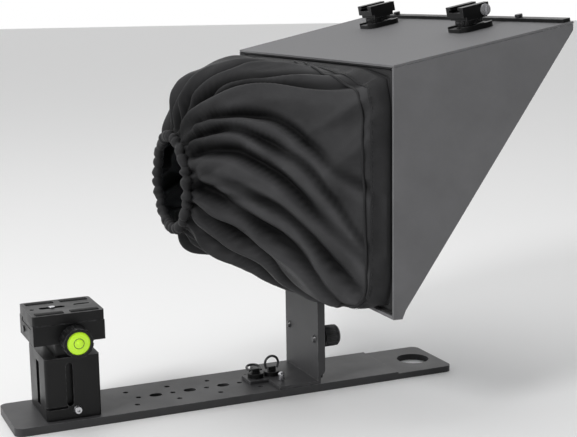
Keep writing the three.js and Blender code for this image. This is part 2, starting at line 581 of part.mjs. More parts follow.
// Hook-and-loop strips bonded inside the rear opening; the shroud's hem presses against them.
function hookStrips() {
  const strip = { x0: 1, x1: 12, thick: 1.4 };
  const topHalf = HOOD.rearHalf - 8;
  add(roof, 'hook_strip_top', box(strip.x0, strip.x1, -topHalf, topHalf, -HOOD.sheet - GAP - strip.thick,
    -HOOD.sheet - GAP), 'hook');
  const railTop = HOOD.bottomZ + 3;
  add(root, 'hook_strip_bottom', box(HOOD.rearX + 1, HOOD.rearX + HOOD.toe - 2, -topHalf, topHalf,
    railTop + GAP, railTop + GAP + 1), 'hook');
  for (const side of [-1, 1]) {
    const corners = [[HOOD.rearX + strip.x0, 128], [HOOD.rearX + strip.x1, 128],
      [HOOD.rearX + strip.x1, 322], [HOOD.rearX + strip.x0, 322]];
    const face = (inset) => corners.map(([x, z]) => [x, side * (innerHalf(x) - inset), z]);
    add(root, side < 0 ? 'hook_strip_right' : 'hook_strip_left',
      slab(face(GAP + strip.thick), face(GAP)), 'hook');
  }
}

// Glass frame: lies just inside the sloping open face. Local u runs up the slope, n points into the hood.
const SLOPE = Math.atan2(EDGE.highZ - EDGE.lowZ, HOOD.frontX - EDGE.lowX);
const SLOPE_LENGTH = Math.hypot(EDGE.highZ - EDGE.lowZ, HOOD.frontX - EDGE.lowX);

function onSlope(u, n, side, inset) {
  const x = EDGE.lowX + u * Math.cos(SLOPE) - n * Math.sin(SLOPE);
  const z = EDGE.lowZ + u * Math.sin(SLOPE) + n * Math.cos(SLOPE);
  return [x, side * (innerHalf(x) - inset), z];
}

function slopeBar(u0, u1, n0, n1, inset) {
  const face = (n) => [onSlope(u0, n, -1, inset), onSlope(u1, n, -1, inset), onSlope(u1, n, 1, inset),
    onSlope(u0, n, 1, inset)];
  return slab(face(n0), face(n1));
}

function glassFrame() {
  const n0 = 0.6;
  const n1 = n0 + GLASS.railThick;
  const low = 3;
  const high = SLOPE_LENGTH - 5;
  const edge = 0.6;
  add(root, 'glass_rail_bottom', slopeBar(low, low + GLASS.rail, n0, n1, edge), 'blackMetal');
  add(root, 'glass_rail_top', slopeBar(high - GLASS.rail, high, n0, n1, edge), 'blackMetal');
  for (const side of [-1, 1]) {
    const from = low + GLASS.rail + GAP;
    const to = high - GLASS.rail - GAP;
    const face = (n) => [onSlope(from, n, side, edge), onSlope(to, n, side, edge),
      onSlope(to, n, side, edge + GLASS.rail), onSlope(from, n, side, edge + GLASS.rail)];
    add(root, side < 0 ? 'glass_rail_right' : 'glass_rail_left', slab(face(n0), face(n1)), 'blackMetal');
  }
  const glassFrom = n1 + GAP;
  add(root, 'beam_splitter_glass', slopeBar(low + 1, high - 1, glassFrom, glassFrom + GLASS.thick, edge + 1),
    'glass');
}

function frontBar() {
  const x0 = ROOF_LENGTH - BAR.back;
  const half = HOOD.frontHalf - 3;
  const bar = box(x0, x0 + BAR.width, -half, half, GAP, GAP + BAR.high);
  const screwX = x0 + BAR.width / 2;
  const holes = [-1, 1].map((side) => rod('z', -1, BAR.high + 2, BAR.screw + GAP,
    [screwX, side * BAR.screwY], 12));
  add(roof, 'front_bar', cut(bar, ...holes), 'blackMetal');
  for (const side of [-1, 1]) {
    const at = [screwX, side * BAR.screwY];
    const top = BAR.high + 2 * GAP;
    const screw = join(
      rod('z', top, top + BAR.headHigh, BAR.head, at, 20),
      rod('z', -HOOD.sheet - 4, top + 1, BAR.screw, at, 12),
      rod('z', -HOOD.sheet - 3.4, -HOOD.sheet - GAP, 4, at, 6),
    );
    add(roof, side < 0 ? 'front_screw_right' : 'front_screw_left', screw, 'blackMetal');
  }
}

// ---- Accessory shoes on the roof ----
const WHEEL = { from: 5.4, to: 9.4, r: 12.4, bore: 6.4 };
const SHOE_BLOCK = { lenX: 27, halfY: 14, from: 9.7, to: 22, floor: 17.2, under: 19.4, halfSlot: 9.4,
  halfMouth: 6.4, screwX: 8, screwZ: 16, screwR: 5.2 };

function accessoryShoe(side) {
  const name = side < 0 ? 'right' : 'left';
  const shoe = groupAt(roof, SHOE_X, side * SHOE.y, 0);
  shoe.scale.setScalar(SHOE.scale);
  const foot = extrude(roundedRect(34, 33, 9), 5 - GAP, 4);
  foot.translate(0, 0, GAP);
  const rim = box(-20, 20, -11, 11, 3.4, 6);
  const boltBore = rod('z', -1, 14, 2.5 + GAP, [0, 0], 12);
  add(shoe, `shoe_base_${name}`, cut(foot, rim, boltBore), 'blackMetal');
  const ribs = range(18).map((i) => {
    const turn = (i / 18) * Math.PI * 2;
    return rod('z', WHEEL.from - 1, WHEEL.to + 1, 0.9, [Math.cos(turn) * (WHEEL.r + 0.3),
      Math.sin(turn) * (WHEEL.r + 0.3)], 6);
  });
  const wheel = rod('z', WHEEL.from, WHEEL.to, WHEEL.r, [0, 0], 36);
  add(shoe, `shoe_wheel_${name}`, cut(wheel, rod('z', 0, 12, WHEEL.bore, [0, 0]), ...ribs), 'blackMetal');
  const b = SHOE_BLOCK;
  const block = join(
    box(-b.lenX / 2, b.lenX / 2, -b.halfY, b.halfY, b.from, b.to),
    rod('z', 3.4 + GAP, b.from + 1, WHEEL.bore - GAP, [0, 0]),
  );
  const slot = box(-b.lenX, b.lenX, -b.halfSlot, b.halfSlot, b.floor, b.under);
  const mouth = box(-b.lenX, b.lenX, -b.halfMouth, b.halfMouth, b.floor + 1, b.to + 1);
  const waist = [-1, 1].map((end) => box(end * b.lenX / 2 - 3, end * b.lenX / 2 + 3, -b.halfY - 1, b.halfY + 1,
    b.from - 1, b.from + 3.2));
  const screwBore = rod('y', side < 0 ? -b.halfY - 1 : b.halfY - 8, side < 0 ? -b.halfY + 8 : b.halfY + 1,
    2 + GAP, [b.screwX, b.screwZ], 12);
  add(shoe, `shoe_block_${name}`, cut(block, slot, mouth, ...waist, screwBore, boltBore), 'blackMetal');
  const screw = join(
    rod('y', b.halfY + GAP, b.halfY + 3, b.screwR, [side * b.screwX, b.screwZ]),
    rod('y', b.halfY - 7, b.halfY + 1, 2, [side * b.screwX, b.screwZ], 12),
  );
  const driver = box(side * b.screwX - 0.8, side * b.screwX + 0.8, b.halfY + 1.8, b.halfY + 4, b.screwZ - 7,
    b.screwZ + 7);
  const slotted = cut(screw, driver);
  if (side < 0) {
    slotted.rotateZ(Math.PI);
  }
  add(shoe, `shoe_screw_${name}`, slotted, 'steel');
  const bolt = join(
    rod('z', -HOOD.sheet - 3, -HOOD.sheet - GAP, 4.6, [0, 0], 16),
    rod('z', -HOOD.sheet - 1, 12, 2.5, [0, 0], 12),
  );
  add(shoe, `shoe_bolt_${name}`, bolt, 'darkSteel');
}

// ---- Cloth shroud: a gathered bag from the hood's rear opening to an elasticated ring ----
// Each row: x, half width, top, bottom, and how square the section is (2 is an ellipse).
const SHROUD = [
  [-52.4, 46, 264, 172, 2],
  [-50, 62, 286, 168, 2.1],
  [-41, 80, 304, 160, 2.1],
  [-24, 101, 323, 151, 2.2],
  [2, 122, 334, 141, 2.4],
  [32, 146, 333, 120, 3],
  [56, 161, 329.5, 107, 4],
  [70, 170, 328, 105, 6],
  [77, 173, 327.5, 107, 9],
  [81, 173.5, 327.5, 108, 11],
  [84.2, 174.5, 327.5, 112.5, 16],
  [90, 174.5, 327.5, 112.5, 16],
];
const SHROUD_SIDES = 40;

function shroudRing([x, half, top, bottom, square], inset) {
  const middle = (top + bottom) / 2;
  const a = half - inset;
  const b = (top - bottom) / 2 - inset;
  return range(SHROUD_SIDES).map((i) => {
    const turn = (i / SHROUD_SIDES) * Math.PI * 2;
    const c = Math.cos(turn);
    const s = Math.sin(turn);
    const reach = (Math.abs(c) ** square + Math.abs(s) ** square) ** (-1 / square);
    return [x, a * reach * c, middle + b * reach * s];
  });
}

function shroud() {
  const loops = [...SHROUD.map((row) => shroudRing(row, 0)),
    ...[...SHROUD].reverse().map((row) => shroudRing(row, CLOTH))];
  const index = [];
  const n = SHROUD_SIDES;
  for (const j of range(loops.length)) {
    const next = (j + 1) % loops.length;
    for (const i of range(n)) {
      const k = (i + 1) % n;
      index.push(j * n + i, j * n + k, next * n + k, j * n + i, next * n + k, next * n + i);
    }
  }
  const geometry = new THREE.BufferGeometry().setFromPoints(loops.flat().map((p) => new THREE.Vector3(...p)));
  geometry.setIndex(index);
  add(root, 'shroud', outward(geometry), 'cloth');
  const cuff = new THREE.TorusGeometry(CUFF.r, CUFF.tube, 10, 40);
  cuff.rotateY(Math.PI / 2);
  cuff.translate(CUFF.x, 0, CUFF.z);
  add(root, 'shroud_cuff', cuff, 'cloth');
}

basePlate();
riserHousing();
riserColumn();
riserScrews();
clampBody();
clampJaw();
clampKnob();
cameraPlate();
uprightBracket();
hoodMast();
mastHardware();
footScrews();
hoodPanels();
hookStrips();
glassFrame();
frontBar();
accessoryShoe(-1);
accessoryShoe(1);
shroud();

export default root;
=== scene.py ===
import json
import math

import bmesh
import bpy
import numpy as np
from bpy.props import FloatProperty, FloatVectorProperty, IntProperty, PointerProperty
from mathutils import Matrix, Vector, noise


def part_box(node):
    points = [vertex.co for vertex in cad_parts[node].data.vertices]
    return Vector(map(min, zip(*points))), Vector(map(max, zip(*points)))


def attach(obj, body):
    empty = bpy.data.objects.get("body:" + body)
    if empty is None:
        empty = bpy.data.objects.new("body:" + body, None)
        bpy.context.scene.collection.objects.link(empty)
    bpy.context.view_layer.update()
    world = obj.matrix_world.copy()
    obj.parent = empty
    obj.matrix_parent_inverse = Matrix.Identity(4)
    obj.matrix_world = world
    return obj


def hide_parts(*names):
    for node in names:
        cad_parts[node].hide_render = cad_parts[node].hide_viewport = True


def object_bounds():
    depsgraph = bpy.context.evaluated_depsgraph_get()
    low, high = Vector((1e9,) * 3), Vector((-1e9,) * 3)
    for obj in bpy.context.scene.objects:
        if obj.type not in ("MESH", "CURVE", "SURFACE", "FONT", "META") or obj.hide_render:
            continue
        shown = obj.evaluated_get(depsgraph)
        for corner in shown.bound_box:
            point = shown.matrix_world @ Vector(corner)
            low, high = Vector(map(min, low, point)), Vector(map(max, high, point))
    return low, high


bl_info = {
    "name": "Teleprompter",
    "version": (1, 0, 0),
    "blender": (4, 5, 0),
    "location": "View3D > Sidebar > Teleprompter",
    "description": "Dresses the packed teleprompter: rounded metalwork, gathered shroud, glass and finishes",
    "category": "Object",
}

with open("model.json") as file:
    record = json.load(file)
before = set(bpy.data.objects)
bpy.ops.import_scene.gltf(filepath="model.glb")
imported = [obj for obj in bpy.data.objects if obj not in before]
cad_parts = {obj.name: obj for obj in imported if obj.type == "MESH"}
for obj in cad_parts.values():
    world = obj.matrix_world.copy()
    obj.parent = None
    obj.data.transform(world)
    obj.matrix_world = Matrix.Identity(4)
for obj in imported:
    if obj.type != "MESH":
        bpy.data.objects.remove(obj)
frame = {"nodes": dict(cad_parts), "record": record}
CAD_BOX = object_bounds()
NODES = frame["nodes"]
BODY_OF = {node: body for body, members in frame["record"]["behaviour"]["bodies"].items() for node in members}
SLOT_OF = {part["node"]: part["material_slot"] for part in frame["record"]["subparts"]}
MM = 0.001
ROOF_RISE, ROOF_RUN = 33.9 * MM, 173.3 * MM
ROOF_TILT = math.atan2(ROOF_RISE, ROOF_RUN)   # the hood's roof rises towards the front


# ---- Settings a user would change ----

def length(name, description, default):
    return FloatProperty(name=name, description=description, default=default, min=0.0,
                         subtype="DISTANCE", unit="LENGTH", precision=5)


def colour(name, description, default):
    return FloatVectorProperty(name=name, description=description, default=default, size=3,
                               min=0.0, max=1.0, subtype="COLOR")


def number(name, description, default):
    return FloatProperty(name=name, description=description, default=default)


def count(name, description, default):
    return IntProperty(name=name, description=description, default=default, min=1)


def angle(name, description, degrees):
    return FloatProperty(name=name, description=description, default=math.radians(degrees),
                         subtype="ANGLE", unit="ROTATION")


class TeleprompterFinishes(bpy.types.PropertyGroup):
    """Colours of the finishes."""
    anodised: colour("Anodised", "Dark grey anodised aluminium", (0.056, 0.056, 0.058))
    black_metal: colour("Black metal", "Black anodised parts", (0.0045, 0.0045, 0.0048))
    powder_coat: colour("Powder coat", "Matt coat on the hood", (0.158, 0.158, 0.163))
    dark_steel: colour("Dark steel", "Black oxide screws", (0.020, 0.020, 0.022))
    steel: colour("Steel", "Bright turned screws", (0.62, 0.62, 0.64))
    rubber: colour("Rubber", "Strips on the camera plate", (0.010, 0.010, 0.010))
    cloth: colour("Cloth", "Shroud", (0.0270, 0.0270, 0.0280))
    thread: colour("Thread", "Sewing thread", (0.020, 0.020, 0.021))
    vial: colour("Vial", "Liquid of the bubble level", (0.50, 0.83, 0.03))
    coating: colour("Glass", "Beam-splitter coating", (0.72, 0.78, 0.82))
    wear: colour("Worn edge", "Coat rubbed thin along an edge", (0.33, 0.33, 0.34))


class TeleprompterShroud(bpy.types.PropertyGroup):
    """Sizes of the gathered cloth."""
    columns: count("Columns", "Faces round the bag before it is refined", 240)
    rows: count("Rows", "Faces from hem to cuff before it is refined", 46)
    gathers: count("Gathers", "Folds that the elastic draws in", 34)
    depth: length("Gather depth", "How deep a gather is at the cuff", 5.0 * MM)
    reach: length("Gather reach", "How far from the cuff the short gathers fade", 60 * MM)
    cloth: length("Cloth thickness", "Thickness of the cloth", 0.7 * MM)
    growth: number("Slack", "Share of spare cloth that falls into wrinkles", 0.035)
    hem: length("Hem width", "Width of the doubled hem", 19 * MM)
    stitch: length("Stitch pitch", "Distance from stitch to stitch", 4.5 * MM)


class TeleprompterEdges(bpy.types.PropertyGroup):
    """How the metalwork is finished."""
    fine: length("Fine edge", "Edge radius on screws and small parts", 0.25 * MM)
    broad: length("Broad edge", "Edge radius on plates and housings", 0.55 * MM)


class TeleprompterStage(bpy.types.PropertyGroup):
    """Camera and studio light."""
    lens: number("Lens", "Focal length in millimetres on a 36 mm sensor", 77.87)
    azimuth: angle("Azimuth", "Camera's angle round the object", -23.43)
    elevation: angle("Elevation", "Camera's angle above the horizon", 10.365)
    roll: angle("Roll", "Camera's lean about its own axis", -0.89)
    place: FloatVectorProperty(name="Camera", description="Where the camera stands", size=3,
                               default=(-0.4288, -1.1348, 0.3982), subtype="TRANSLATION", unit="LENGTH")
    floor: colour("Floor", "Pale studio floor", (0.90, 0.90, 0.90))
    front: number("Front light", "World brightness on the camera's side", 0.09)
    back: number("Back light", "World brightness behind the object", 1.0)
    key: FloatProperty(name="Key light", description="Soft light from the left", default=36.0,
                       subtype="POWER", unit="POWER")
    top: FloatProperty(name="Top light", description="Soft light from above", default=8.0,
                       subtype="POWER", unit="POWER")


def settings():
    return bpy.context.scene.teleprompter


# ---- Small helpers for node trees ----

def place(tree, kind, inputs=None, **properties):
    """Adds a node, sets its properties, then sets or links its inputs."""
    node = tree.nodes.new(kind)
    for name, value in properties.items():
        setattr(node, name, value)
    for name, value in (inputs or {}).items():
        if isinstance(value, bpy.types.NodeSocket):
            tree.links.new(value, node.inputs[name])
        else:
            node.inputs[name].default_value = value
    return node


def sums(tree, operation, a, b=None, c=None):
    """A Math node; a, b and c are numbers or sockets."""
    values = {i: v for i, v in enumerate((a, b, c)) if v is not None}
    return place(tree, "ShaderNodeMath", values, operation=operation).outputs[0]


def new_group(name, inputs, outputs, kind="ShaderNodeTree"):
    """A node group with named sockets; returns the tree, its input node and its output node."""
    tree = bpy.data.node_groups.new(name, kind)
    for label, socket, default in inputs:
        made = tree.interface.new_socket(label, in_out="INPUT", socket_type=socket)
        if default is not None:
            made.default_value = default
    for label, socket in outputs:
        tree.interface.new_socket(label, in_out="OUTPUT", socket_type=socket)
    return tree, tree.nodes.new("NodeGroupInput"), tree.nodes.new("NodeGroupOutput")


NUMBER = "NodeSocketFloat"


def grain_group():
    """Fine pitted grain of a blasted or powder-coated surface."""
    tree, given, result = new_group("Surface Grain",
                                    [("Scale", NUMBER, 900.0), ("Cloud Scale", NUMBER, 24.0)],
                                    [("Height", NUMBER), ("Cloud", NUMBER)])
    at = place(tree, "ShaderNodeTexCoord").outputs["Object"]
    fine = place(tree, "ShaderNodeTexNoise", {"Vector": at, "Scale": given.outputs["Scale"], "Detail": 3.0})
    pits = place(tree, "ShaderNodeTexVoronoi", {"Vector": at, "Scale": given.outputs["Scale"]})
    cloud = place(tree, "ShaderNodeTexNoise", {"Vector": at, "Scale": given.outputs["Cloud Scale"],
                                               "Detail": 4.0, "Roughness": 0.65})
    height = sums(tree, "MULTIPLY_ADD", pits.outputs["Distance"], 0.5, fine.outputs["Fac"])
    tree.links.new(height, result.inputs["Height"])
    tree.links.new(cloud.outputs["Fac"], result.inputs["Cloud"])
    return tree


def wear_group():
    """Where handling has rubbed an edge: a mask along edges, broken up by noise."""
    tree, given, result = new_group("Edge Wear", [("Radius", NUMBER, 0.0008), ("Scale", NUMBER, 260.0),
                                                  ("Amount", NUMBER, 0.4)], [("Mask", NUMBER)])
    at = place(tree, "ShaderNodeTexCoord").outputs["Object"]
    flat = place(tree, "ShaderNodeNewGeometry").outputs["Normal"]
    soft = place(tree, "ShaderNodeBevel", {"Radius": given.outputs["Radius"]}, samples=4).outputs["Normal"]
    turn = place(tree, "ShaderNodeVectorMath", {0: flat, 1: soft}, operation="DOT_PRODUCT").outputs["Value"]
    edge = place(tree, "ShaderNodeMapRange", {"Value": turn, "From Min": 0.995, "From Max": 0.90,
                                              "To Min": 0.0, "To Max": 1.0}).outputs[0]
    rub = place(tree, "ShaderNodeTexNoise", {"Vector": at, "Scale": given.outputs["Scale"], "Detail": 5.0})
    broken = place(tree, "ShaderNodeMapRange", {"Value": rub.outputs["Fac"], "From Min": 0.38,
                                                "From Max": 0.68}).outputs[0]
    mask = sums(tree, "MULTIPLY", sums(tree, "MULTIPLY", edge, broken), given.outputs["Amount"])
    tree.links.new(mask, result.inputs["Mask"])
    return tree


def weave_group():
    """Plain weave read from the cloth's own UV map, which is in metres."""
    tree, given, result = new_group("Weave", [("Threads per Metre", NUMBER, 1500.0)],
                                    [("Height", NUMBER), ("Cloud", NUMBER)])
    uv = place(tree, "ShaderNodeUVMap", uv_map="cloth").outputs["UV"]
    split = place(tree, "ShaderNodeSeparateXYZ", {0: uv})
    waves = []
    for axis in ("X", "Y"):
        along = sums(tree, "MULTIPLY", split.outputs[axis], given.outputs["Threads per Metre"])
        waves.append(sums(tree, "SINE", sums(tree, "MULTIPLY", along, math.pi)))
    height = sums(tree, "MULTIPLY", waves[0], waves[1])
    cloud = place(tree, "ShaderNodeTexNoise", {"Vector": uv, "Scale": 34.0, "Detail": 5.0, "Roughness": 0.6})
    tree.links.new(height, result.inputs["Height"])
    tree.links.new(cloud.outputs["Fac"], result.inputs["Cloud"])
    return tree


# ---- Finishes ----

FINE = "fine "   # the CAD's plain materials already have the slots' own names


def finish_of(slot):
    return bpy.data.materials[FINE + slot]


def start_material(name):
    """An empty node material; returns its tree and its Principled shader."""
    material = bpy.data.materials.new(FINE + name)
    material.use_nodes = True
    tree = material.node_tree
    return tree, next(n for n in tree.nodes if n.type == "BSDF_PRINCIPLED")


def scaled(base, share):
    return tuple(min(1.0, share * c) for c in base)


def mixed(tree, mask, low, high):
    """A colour between two others by a mask."""
    node = place(tree, "ShaderNodeMix", {"Factor": mask}, data_type="RGBA")
    node.inputs[6].default_value = (*low, 1.0)
    node.inputs[7].default_value = (*high, 1.0)
    return node


def group_node(tree, name, inputs):
    return place(tree, "ShaderNodeGroup", inputs, node_tree=bpy.data.node_groups[name])


def cloudy_roughness(tree, shader, cloud, low, high):
    rough = place(tree, "ShaderNodeMapRange", {"Value": cloud, "From Min": 0.3, "From Max": 0.7,
                                               "To Min": low, "To Max": high})
    tree.links.new(rough.outputs[0], shader.inputs["Roughness"])


def relief(tree, shader, height, strength, distance):
    bump = place(tree, "ShaderNodeBump", {"Height": height, "Strength": strength, "Distance": distance})
    tree.links.new(bump.outputs[0], shader.inputs["Normal"])


def metal(name, base, rough, spread, metallic, grain, depth, wear, shine=0.5):
    """A coated or bare metal: grained, slightly cloudy, and rubbed along its edges."""
    tree, shader = start_material(name)
    surface = group_node(tree, "Surface Grain", {"Scale": grain})
    edge = group_node(tree, "Edge Wear", {"Amount": wear})
    cloudy = mixed(tree, surface.outputs["Cloud"], scaled(base, 0.82), scaled(base, 1.22))
    worn = place(tree, "ShaderNodeMix", {"Factor": edge.outputs["Mask"]}, data_type="RGBA")
    tree.links.new(cloudy.outputs[2], worn.inputs[6])
    worn.inputs[7].default_value = (*settings().finishes.wear, 1.0)
    tree.links.new(worn.outputs[2], shader.inputs["Base Color"])
    cloudy_roughness(tree, shader, surface.outputs["Cloud"], rough - spread, rough + spread)
    relief(tree, shader, surface.outputs["Height"], depth, 0.1 * MM)
    shader.inputs["Metallic"].default_value = metallic
    shader.inputs["Specular IOR Level"].default_value = shine


def fabric(name, base, rough, sheen, threads, painted_fold_shading=False):
    """Woven cloth with a faint sheen; the bag's cloth also gets painted shade, darker where its per-point
    shade attribute is low.
    """
    tree, shader = start_material(name)
    weave = group_node(tree, "Weave", {"Threads per Metre": threads})
    shade = mixed(tree, weave.outputs["Cloud"], scaled(base, 0.65), scaled(base, 1.45))
    if painted_fold_shading:
        fold = place(tree, "ShaderNodeAttribute", attribute_name="fold").outputs["Fac"]
        # Painted shade: the colour falls to 8% of the cloth's own where the shade attribute is low.
        fold_shaded_colour = mixed(tree, fold, scaled(base, 0.08), base)
        tree.links.new(shade.outputs[2], fold_shaded_colour.inputs[7])
        shade = fold_shaded_colour
    tree.links.new(shade.outputs[2], shader.inputs["Base Color"])
    cloudy_roughness(tree, shader, weave.outputs["Cloud"], rough - 0.06, rough + 0.06)
    relief(tree, shader, weave.outputs["Height"], 0.35, 0.2 * MM)
    shader.inputs["Sheen Weight"].default_value = sheen
    shader.inputs["Sheen Roughness"].default_value = 0.45
    shader.inputs["Specular IOR Level"].default_value = 0.06


def plain_weave(name, base, rough, scale):
    """Short dense pile, as on hook tape and rubber: grain on Object coordinates."""
    tree, shader = start_material(name)
    surface = group_node(tree, "Surface Grain", {"Scale": scale})
    shade = mixed(tree, surface.outputs["Cloud"], scaled(base, 0.7), scaled(base, 1.4))
    tree.links.new(shade.outputs[2], shader.inputs["Base Color"])
    relief(tree, shader, surface.outputs["Height"], 0.7, 0.3 * MM)
    shader.inputs["Roughness"].default_value = rough


def clear(name, base, rough, transmission, painted_glow=0.0):
    """Glass or clear plastic, with a faint uneven film; the last argument gives it a painted glow, light
    given off though it is no lamp.
    """
    tree, shader = start_material(name)
    surface = group_node(tree, "Surface Grain", {"Cloud Scale": 60.0})
    shade = mixed(tree, surface.outputs["Cloud"], scaled(base, 0.94), base)
    tree.links.new(shade.outputs[2], shader.inputs["Base Color"])
    cloudy_roughness(tree, shader, surface.outputs["Cloud"], rough, rough + 0.05)
    shader.inputs["Transmission Weight"].default_value = transmission
    # Painted glow: the surface gives off light of its own colour.
    if painted_glow:
        tree.links.new(shade.outputs[2], shader.inputs["Emission Color"])
        shader.inputs["Emission Strength"].default_value = painted_glow


def make_finishes():
    """Builds every finish, named after the record's slot with FINE in front."""
    grain_group()
    wear_group()
    weave_group()
    tone = settings().finishes
    metal("anodised", tone.anodised, 0.42, 0.06, 0.0, 1500.0, 0.25, 0.55, 0.2)
    metal("black_metal", tone.black_metal, 0.38, 0.07, 0.0, 1800.0, 0.20, 0.45, 0.3)
    metal("powder_coat", tone.powder_coat, 0.62, 0.05, 0.0, 1100.0, 0.45, 0.45, 0.25)
    metal("dark_steel", tone.dark_steel, 0.33, 0.06, 0.0, 2200.0, 0.10, 0.60, 0.7)
    metal("steel", tone.steel, 0.26, 0.05, 1.0, 2600.0, 0.08, 0.0)
    plain_weave("rubber", tone.rubber, 0.75, 1300.0)
    plain_weave("hook_tape", tone.cloth, 0.9, 1600.0)
    fabric("cloth", tone.cloth, 0.44, 0.02, 1500.0)
    # Painted light and shade: the bag's cloth is 2.1 times lighter than the other cloth, then darkened by
    # painted shade in its folds, near the cuff and over the top.
    fabric("shaded_bag_cloth", scaled(tone.cloth, 2.1), 0.44, 0.02, 1500.0, painted_fold_shading=True)
    fabric("thread", tone.thread, 0.6, 0.2, 3000.0)
    clear("glass", tone.coating, 0.02, 0.75)
    # The vial and its bubble get a painted glow.
    clear("level", tone.vial, 0.12, 0.0, 0.35)


def finish(piece, body, slot, nodes=()):
    """Gives a piece the finish of its record slot if it has no material yet, puts it under its body, and
    hides the CAD nodes it stands for.
    """
    material = finish_of(slot)
    if not piece.data.materials:
        piece.data.materials.append(material)
    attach(piece, body)
    for node in nodes:
        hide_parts(node)
    return piece


# ---- Mesh helpers ----

def object_of(name, mesh):
    made = bpy.data.objects.new(name, mesh)
    bpy.context.scene.collection.objects.link(made)
    return made


def mesh_of(name, points, faces):
    mesh = bpy.data.meshes.new(name)
    mesh.from_pydata([tuple(p) for p in points], [], faces)
    mesh.update()
    return mesh


def shade(mesh, degrees=35.0):
    """Smooth shading with sharp edges kept."""
    mesh.polygons.foreach_set("use_smooth", [True] * len(mesh.polygons))
    mesh.set_sharp_from_angle(angle=math.radians(degrees))
    mesh.update()


def faces_outward(mesh):
    bm = bmesh.new()
    bm.from_mesh(mesh)
    bmesh.ops.recalc_face_normals(bm, faces=bm.faces)
    bm.to_mesh(mesh)
    bm.free()


def solid(name, points, faces, matrix):
    """A closed body, shaded and put in its place."""
    mesh = mesh_of(name, points, faces)
    mesh.transform(matrix)
    faces_outward(mesh)
    shade(mesh)
    return object_of(name, mesh)


def lathe(name, profile, sides, matrix):
    """A turned body: profile is (radius, height) from pole to pole, both poles on the axis."""
    points = [(0.0, 0.0, profile[0][1])]
    for radius, height in profile[1:-1]:
        for i in range(sides):
            turn = 2 * math.pi * i / sides
            points.append((radius * math.cos(turn), radius * math.sin(turn), height))
    points.append((0.0, 0.0, profile[-1][1]))
    rings = len(profile) - 2
    faces = []
    for i in range(sides):
        j = (i + 1) % sides
        faces.append((0, 1 + j, 1 + i))
        for r in range(rings - 1):
            a, b = 1 + r * sides, 1 + (r + 1) * sides
            faces.append((a + i, a + j, b + j, b + i))
        last = 1 + (rings - 1) * sides
        faces.append((last + i, last + j, len(points) - 1))
    return solid(name, points, faces, matrix)


def tube_faces(sides, around):
    """Faces of a ring-shaped tube: its sections follow one another, each of so many points around."""
    faces = []
    for i in range(sides):
        a, b = i * around, (i + 1) % sides * around
        for j in range(around):
            k = (j + 1) % around
            faces.append((a + j, b + j, b + k, a + k))
    return faces


def ring_body(name, radius, tube, sides, around, matrix):
    """A closed ring of round section."""
    points = []
    for i in range(sides):
        turn = 2 * math.pi * i / sides
        for j in range(around):
            tilt = 2 * math.pi * j / around
            reach = radius + tube * math.cos(tilt)
            points.append((reach * math.cos(turn), reach * math.sin(turn), tube * math.sin(tilt)))
    return solid(name, points, tube_faces(sides, around), matrix)


# ---- Geometry Nodes: what repeats ----

def repeat_on_points(tree, given, result, points, instance, rotation=None):
    """Puts an instance on points, realizes it and gives it its material."""
    inputs = {"Points": points, "Instance": instance}
    if rotation is not None:
        inputs["Rotation"] = rotation
    spread = place(tree, "GeometryNodeInstanceOnPoints", inputs)
    real = place(tree, "GeometryNodeRealizeInstances", {"Geometry": spread.outputs["Instances"]})
    smooth = place(tree, "GeometryNodeSetShadeSmooth", {"Geometry": real.outputs["Geometry"]})
    dressed = place(tree, "GeometryNodeSetMaterial", {"Geometry": smooth.outputs["Geometry"],
                                                      "Material": given.outputs["Material"]})
    tree.links.new(dressed.outputs["Geometry"], result.inputs["Geometry"])


def ribs_tree():
    """Upright ribs round a circle, for a grip."""
    tree, given, result = new_group(
        "Ribs Round A Grip",
        [("Count", "NodeSocketInt", 24), ("Ring Radius", NUMBER, 0.012), ("Rib Radius", NUMBER, 0.0008),
         ("Rib Length", NUMBER, 0.01), ("Material", "NodeSocketMaterial", None)],
        [("Geometry", "NodeSocketGeometry")], "GeometryNodeTree")
    circle = place(tree, "GeometryNodeMeshCircle", {"Vertices": given.outputs["Count"],
                                                    "Radius": given.outputs["Ring Radius"]})
    rib = place(tree, "GeometryNodeMeshCylinder", {"Vertices": 8, "Radius": given.outputs["Rib Radius"],
                                                   "Depth": given.outputs["Rib Length"]})
    repeat_on_points(tree, given, result, circle.outputs["Mesh"], rib.outputs["Mesh"])
    return tree


def rows_tree():
    """Low ribs in a row, for a rubber strip."""
    tree, given, result = new_group(
        "Ribs In A Row",
        [("Count", "NodeSocketInt", 14), ("Row Length", NUMBER, 0.024),
         ("Rib Size", "NodeSocketVector", None), ("Material", "NodeSocketMaterial", None)],
        [("Geometry", "NodeSocketGeometry")], "GeometryNodeTree")
    half = sums(tree, "MULTIPLY", given.outputs["Row Length"], 0.5)
    start = place(tree, "ShaderNodeCombineXYZ", {"X": sums(tree, "MULTIPLY", half, -1.0)})
    end = place(tree, "ShaderNodeCombineXYZ", {"X": half})
    line = place(tree, "GeometryNodeMeshLine", {"Count": given.outputs["Count"],
                                                "Start Location": start.outputs[0],
                                                "Offset": end.outputs[0]}, mode="END_POINTS")
    rib = place(tree, "GeometryNodeMeshCube", {"Size": given.outputs["Rib Size"]})
    repeat_on_points(tree, given, result, line.outputs["Mesh"], rib.outputs["Mesh"])
    return tree


